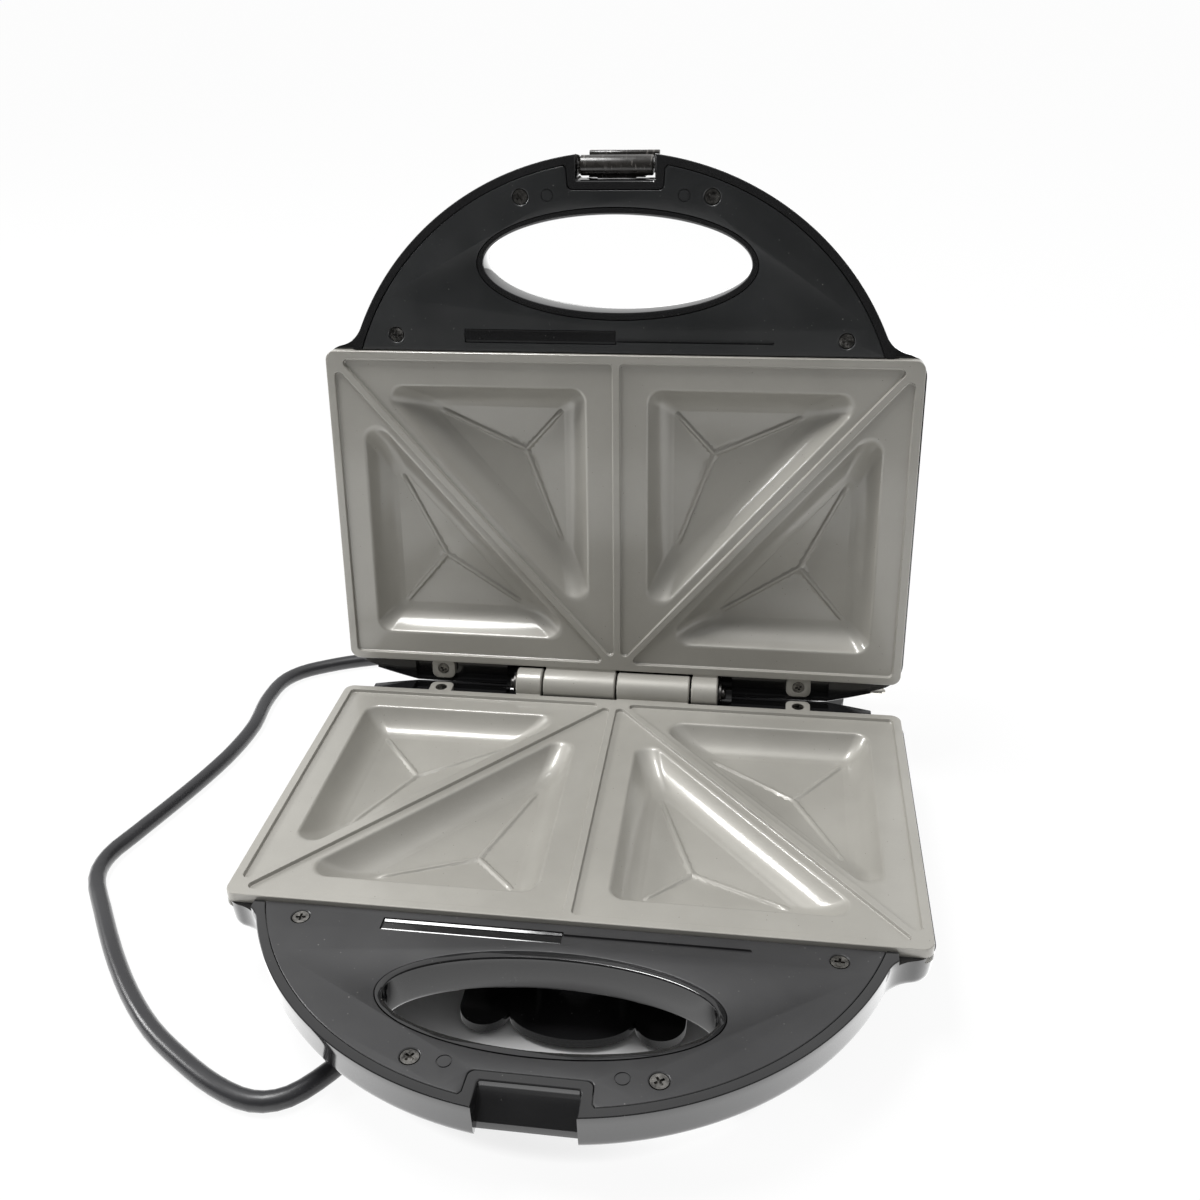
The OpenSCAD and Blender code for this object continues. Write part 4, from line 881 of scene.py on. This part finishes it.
def floor_height(p, v, dip, fade):
    """The pocket's floor: three planes down to the lowest point, and a bead along each crease."""
    corners = inset_triangle(v, FLOOR_INSET)
    at_dip = edge_distances(dip[None, :], corners)[:, 0]
    share = np.clip((edge_distances(p, corners) / at_dip[:, None]).min(0), 0, 1)
    gap = np.min([segment_distance(p, corner + (dip - corner) * BEAD_START, dip)
                  for corner in corners], axis=0)
    return LAND_Z - FLOOR_DEPTH - DIP * share + BEAD_H * fade * np.exp(-(gap / BEAD_W) ** 4)


class Skin:
    """Collects the rings and sheets of a plate's upper side."""

    def __init__(self):
        self.verts = []
        self.faces = []

    def ring(self, points, z, side=1):
        """Adds a closed ring, mirrored where side is -1, and gives its vertices' numbers."""
        heights = np.broadcast_to(z, len(points))
        rows = [(side * q[0], q[1], h) for q, h in zip(points, heights)][::side]
        first = len(self.verts)
        self.verts += rows
        return list(range(first, first + len(rows)))

    def band(self, outer, inner):
        n = len(outer)
        for i in range(n):
            j = (i + 1) % n
            self.faces.append((outer[i], outer[j], inner[j], inner[i]))

    def wall(self, rings, around=None):
        """Bands between rings, and a flat sheet from the first to the one around it; gives the first
        and the last."""
        made = []
        for ring in rings:
            made.append(self.ring(*ring))
            if len(made) > 1:
                self.band(made[-2], made[-1])
            elif around:
                self.sheet([around, made[0]])
        return made[0], made[-1]

    def fan(self, ring, point, z):
        """Closes a ring with triangles to one point."""
        self.verts.append((point[0], point[1], z))
        n = len(ring)
        self.faces += [(ring[i], ring[(i + 1) % n], len(self.verts) - 1) for i in range(n)]

    def sheet(self, loops):
        """A flat sheet inside the first loop and outside the others."""
        bm = bmesh.new()
        edges, names = [], []
        for loop in loops:
            made = [bm.verts.new((*self.verts[k][:2], 0)) for k in loop]
            names += loop
            edges += [bm.edges.new((made[i], made[(i + 1) % len(made)])) for i in range(len(made))]
        bmesh.ops.triangle_fill(bm, use_beauty=True, use_dissolve=False, edges=edges)
        bm.verts.index_update()
        self.faces += [tuple(names[v.index] for v in face.verts) for face in bm.faces]
        bm.free()


def add_pocket(skin, side, room, pocket, dip):
    """One room with its pocket; gives the room's upper edge."""
    edge, land = skin.wall([(tri_ring(room, s, ROOM_CORNER - s), RIM_Z + z, side) for s, z in ROOM_WALL])
    rings = [(tri_ring(pocket, s, POCKET_CORNER - POCKET_CORNER_LOSS * s), LAND_Z + z, side)
             for s, z in pocket_wall()]
    foot = rings[-1][0]
    for share in FLOOR_SHARES:
        inner = dip + (foot - dip) * share
        rings.append((inner, floor_height(inner, pocket, dip, ease((1 - share) / BEAD_FADE)), side))
    last = skin.wall(rings, around=land)[1]
    bottom = float(floor_height(dip[None, :], pocket, dip, 1.0)[0])
    skin.fan(last, dip * (side, 1), bottom)
    return edge


def plate_skin():
    """The plate's upper side, and the ring at its foot."""
    skin = Skin()
    rooms = [add_pocket(skin, side, room, pocket, dip) for side in (1, -1)
             for room, pocket, dip in ((ROOM_IN, POCKET_IN, DIP_IN), (ROOM_OUT, POCKET_OUT, DIP_OUT))]
    foot, rim = skin.wall([(round_box(PLATE_W / 2 - s, s - PLATE_FRONT, -PLATE_BACK - s,
                                      PLATE_CORNER - s, 12), z) for s, z in RIM_STEPS])
    skin.sheet([rim] + rooms)
    return skin, foot


KNUCKLES = [(-HINGE_HALF, -HINGE_HALF + 10.5), (0.4, 29.7)]
WEB = [(-PLATE_BACK - 1.5, -5.6), (-1, -5.9), (0, -1.2), (-PLATE_BACK - 1.5, -1.2)]
EAR_X, EAR_HALF, EAR_CORNER = 73, 4.8, 2.6
EAR_STEPS = [(0.0, DECK_Z + 0.1), (0.0, RIM_Z - 0.95), (0.12, RIM_Z - 0.8), (0.35, RIM_Z - 0.7)]
EAR_HOLE_Y, EAR_HOLE_R, EAR_HOLE_Z = -3.8, 2.45, DECK_Z + 1.7


def ear_piece(x):
    """An ear behind the plate, with a sunk hole for its screw."""
    rings = [(round_box(EAR_HALF - k, -PLATE_BACK - 1, 0.5 - k, EAR_CORNER - k, 8) + (x, 0), z)
             for k, z in EAR_STEPS]
    ear = solid("ear", *loft(rings))
    combine(ear, [prism("sink", [disc((x, EAR_HOLE_Y), EAR_HOLE_R)], EAR_HOLE_Z, ABOVE_COVER)], "DIFFERENCE")
    return ear


def plate(name, place, body, node):
    """A casting: the skin and its copy below, with knuckles on webs and two ears."""
    skin, foot = plate_skin()
    top = np.array(skin.verts)
    n = len(top)
    under = top.copy()
    under[:, 2] = np.minimum(top[:, 2] - SKIN_T, EDGE_Z - 0.1)
    faces = skin.faces + [tuple(n + k for k in face[::-1]) for face in skin.faces]
    m = len(foot)
    faces += [(foot[(i + 1) % m], foot[i], n + foot[i], n + foot[(i + 1) % m]) for i in range(m)]
    casting = solid("skin", np.vstack([top, under]), faces)
    extra = []
    for x0, x1 in KNUCKLES:
        extra.append(turned_x("knuckle", x0, x1, KNUCKLE_R, chamfer=0.5))
        extra.append(across("web", x1 - x0 - 0.6, WEB, x=(x0 + x1) / 2))
    extra += [ear_piece(x) for x in (-EAR_X, EAR_X)]
    finished(casting, name, "nonstick", place, False, body, [node], smooth=24.0, join=extra)


plate("lower_plate_casting", base_point, "base", "lower_plate")
plate("upper_plate_casting", lid_turned_point, "lid", "upper_plate")


# ---------------- latch

HUB_R, LATCH_W, ARM_W, TAB_W = 3.6, 26.4, 20.4, 14
ARM_IN, ARM_OUT, TAB_IN, TAB_OUT = -204.0, -201.0, -202.6, -200.8
LATCH_TOP, HOOK_Y = 35.4, -208.7


def latch_piece():
    """The lever as it stands on the shut lid before it is swung over: hub, arm, hooked head, tab."""
    hub = turned_x("hub", -LATCH_W / 2, LATCH_W / 2, HUB_R, LATCH_Y, LATCH_Z, 64, 0.4)
    inner, outer, top, hook = ARM_IN, ARM_OUT, LATCH_TOP, HOOK_Y
    head = across("head", LATCH_W, [(outer, top - 9), (outer, top - 1), (outer - 1, top), (hook + 0.6, top),
                                    (hook, top - 0.8), (hook, top - 2.8), (hook + 0.6, top - 3.4),
                                    (inner - 0.6, top - 3.4), (inner, top - 4), (inner, top - 9)])
    arm = across("arm", ARM_W, [(inner, LATCH_Z), (outer, LATCH_Z), (outer, top - 8), (inner, top - 8)])
    tab = across("tab", TAB_W, [(TAB_IN, LATCH_Z - 1.2), (TAB_OUT, LATCH_Z - 1.2),
                                (TAB_OUT, LATCH_Z + 1.2), (TAB_IN, LATCH_Z + 1.2)])
    combine(hub, [arm, head, tab], "UNION")
    mod = hub.modifiers.new("edges", "BEVEL")
    mod.width = 0.35
    mod.segments = 2
    mod.limit_method = "ANGLE"
    mod.angle_limit = math.radians(40)
    apply_modifiers(hub)
    finished(hub, "latch_lever", "latch_plastic", lid_point, False, "latch", ["latch"], smooth=40.0)


latch_piece()


# ---------------- strain relief

GUARD_L, GUARD_R, GUARD_TAPER = 30.0, 5.4, 1.3
GROOVE_START, GROOVE_STEP = 2.4, 3.4


def relief_piece():
    """The tapered cord guard with rings cut round it, which ends at the cord's first point."""
    x, end, height = CORD_PATH[0]
    rings = [(-0.3, GUARD_R + 0.1), (0.6, GUARD_R + 0.2), (1.6, GUARD_R)]
    at = GROOVE_START
    while at < GUARD_L - 3:
        r = GUARD_R - GUARD_TAPER * at / GUARD_L
        rings += [(at, r), (at + 0.3, r - 0.7), (at + 1.0, r - 0.8), (at + 1.3, r - 0.1)]
        at += GROOVE_STEP
    rings += [(GUARD_L - 0.4, 3.95), (GUARD_L, 3.6)]
    n = 48
    t = full_turn(n)
    verts = np.vstack([np.column_stack([x + r * np.cos(t), np.full(n, end - GUARD_L + y),
                                        height - HINGE_H + r * np.sin(t)]) for y, r in rings])
    guard = solid("guard", verts, turned_faces(len(rings), n))
    finished(guard, "cord_guard", "cord_pvc", base_point, False, "base", ["cord_relief"])


relief_piece()


# ---------------- floor, light, render settings

WHITE = (1, 1, 1, 1)
FLOOR_NEAR, FLOOR_FAR = -0.43, 40.0  # the near edge lies behind the camera
# Floor colours: a grey painted under the toaster as painted shade, and the pale table
FLOOR_PAINTED_SHADE, PALE = (0.6, 0.6, 0.6), (0.97, 0.97, 0.97)
# Reach is how long a floor point's place is once it is scaled and shifted
REACH_SCALE, REACH_SHIFT = (8.4, 8.0, 0.0), (0.0, 0.16, 0.0)
# What the floor does from one reach to another: its colour turns from painted shade under the toaster
# to pale; for glossy rays it glows as a painted reflection, dimmed under the toaster as painted shade,
# a little brighter just next to it and brighter further out; and the camera stops seeing shadows
PAINTED_SHADE_FADE = (0.45, 0.75, 0.0, 1.0)
PAINTED_REFLECTION_NEAR, PAINTED_REFLECTION_FAR = (0.48, 0.6, -0.75, 0.25), (0.88, 1.02, 0.0, 0.75)
TURNS_CLEAR = (0.6, 0.76, 0.0, 0.93)
# The room's light comes from above and behind: how much each counts, and how bright it gets
UP_SHARE, REAR_SHARE = 0.86, 0.5
ROOM_LIGHT = (0.0, 0.8, 0.12, 0.95)


def white_floor():
    """A pale table, coloured darker under the toaster as painted shade, that shows shadows under and beside
    the toaster and is almost plain white away from it; for glossy rays it glows as a painted reflection."""
    near, far = FLOOR_NEAR, FLOOR_FAR
    mesh = bpy.data.meshes.new("floor")
    mesh.from_pydata([(-far, near, 0), (far, near, 0), (far, far, 0), (-far, far, 0)], [], [(0, 1, 2, 3)])
    floor = placed("floor", mesh)
    mat = bpy.data.materials.new("white_floor")
    mat.use_nodes = True
    tree = mat.node_tree
    tree.nodes.clear()
    out = tree.nodes.new("ShaderNodeOutputMaterial")
    diffuse = tree.nodes.new("ShaderNodeBsdfDiffuse")
    glow = tree.nodes.new("ShaderNodeEmission")
    glow.inputs["Color"].default_value = WHITE
    path = tree.nodes.new("ShaderNodeLightPath")
    coords = tree.nodes.new("ShaderNodeTexCoord")
    mapping = tree.nodes.new("ShaderNodeMapping")
    mapping.inputs["Location"].default_value = REACH_SHIFT
    mapping.inputs["Scale"].default_value = REACH_SCALE
    tree.links.new(coords.outputs["Object"], mapping.inputs["Vector"])
    length = tree.nodes.new("ShaderNodeVectorMath")
    length.operation = "LENGTH"
    tree.links.new(mapping.outputs["Vector"], length.inputs[0])
    reach = length.outputs["Value"]
    # The floor's colour: painted shade under the toaster, turning pale further out
    tree.links.new(mixed(tree, spread(tree, reach, *PAINTED_SHADE_FADE), FLOOR_PAINTED_SHADE, PALE),
                   diffuse.inputs["Color"])
    # Glossy rays see the floor glow as a painted reflection: dimmed under the toaster as painted shade,
    # brighter next to it and further out
    beside = spread(tree, reach, *PAINTED_REFLECTION_NEAR)
    further = spread(tree, reach, *PAINTED_REFLECTION_FAR)
    mirrored = maths(tree, "MULTIPLY", maths(tree, "ADD", beside, further),
                     path.outputs["Is Glossy Ray"])
    tree.links.new(maths(tree, "ADD", mirrored, 1.0), glow.inputs["Strength"])
    clear = spread(tree, reach, *TURNS_CLEAR)
    seen = maths(tree, "MULTIPLY", clear, path.outputs["Is Camera Ray"])
    mix = tree.nodes.new("ShaderNodeMixShader")
    tree.links.new(maths(tree, "ADD", seen, path.outputs["Is Glossy Ray"]), mix.inputs["Fac"])
    tree.links.new(diffuse.outputs["BSDF"], mix.inputs[1])
    tree.links.new(glow.outputs["Emission"], mix.inputs[2])
    tree.links.new(mix.outputs["Shader"], out.inputs["Surface"])
    mesh.materials.append(mat)


def studio_world():
    """White behind everything that the camera sees; a room brighter above and behind lights it."""
    world = bpy.data.worlds.new("studio")
    bpy.context.scene.world = world
    world.use_nodes = True
    tree = world.node_tree
    tree.nodes.clear()
    out = tree.nodes.new("ShaderNodeOutputWorld")
    back = tree.nodes.new("ShaderNodeBackground")
    back.inputs["Color"].default_value = WHITE
    coords = tree.nodes.new("ShaderNodeTexCoord")
    split = tree.nodes.new("ShaderNodeSeparateXYZ")
    tree.links.new(coords.outputs["Generated"], split.inputs["Vector"])
    up = maths(tree, "MULTIPLY", split.outputs["Z"], UP_SHARE)
    rear = maths(tree, "MULTIPLY", split.outputs["Y"], REAR_SHARE)
    aim = maths(tree, "ADD", up, rear)
    room = spread(tree, aim, *ROOM_LIGHT)
    path = tree.nodes.new("ShaderNodeLightPath")
    seen = path.outputs["Is Camera Ray"]
    unseen = maths(tree, "SUBTRACT", 1.0, seen)
    strength = maths(tree, "ADD", maths(tree, "MULTIPLY", room, unseen), seen)
    tree.links.new(strength, back.inputs["Strength"])
    tree.links.new(back.outputs["Background"], out.inputs["Surface"])


def lamp(name, size, power, place, aim):
    """A soft rectangular lamp; metres and watts."""
    data = bpy.data.lights.new(name, "AREA")
    data.shape = "RECTANGLE"
    data.size, data.size_y = size
    data.energy = power
    light = placed(name, data)
    light.location = place
    light.rotation_euler = (Vector(aim) - Vector(place)).to_track_quat("-Z", "Y").to_euler()


white_floor()
studio_world()
lamp("ceiling", size=(0.26, 0.5), power=13.5, place=(-0.36, -0.08, 1.35), aim=(-0.36, -0.08, 0))
lamp("window", size=(0.3, 0.32), power=12.5, place=(-1.5, 0.02, 0.82), aim=(0, 0, 0.1))

bpy.context.scene.view_settings.view_transform = "Standard"
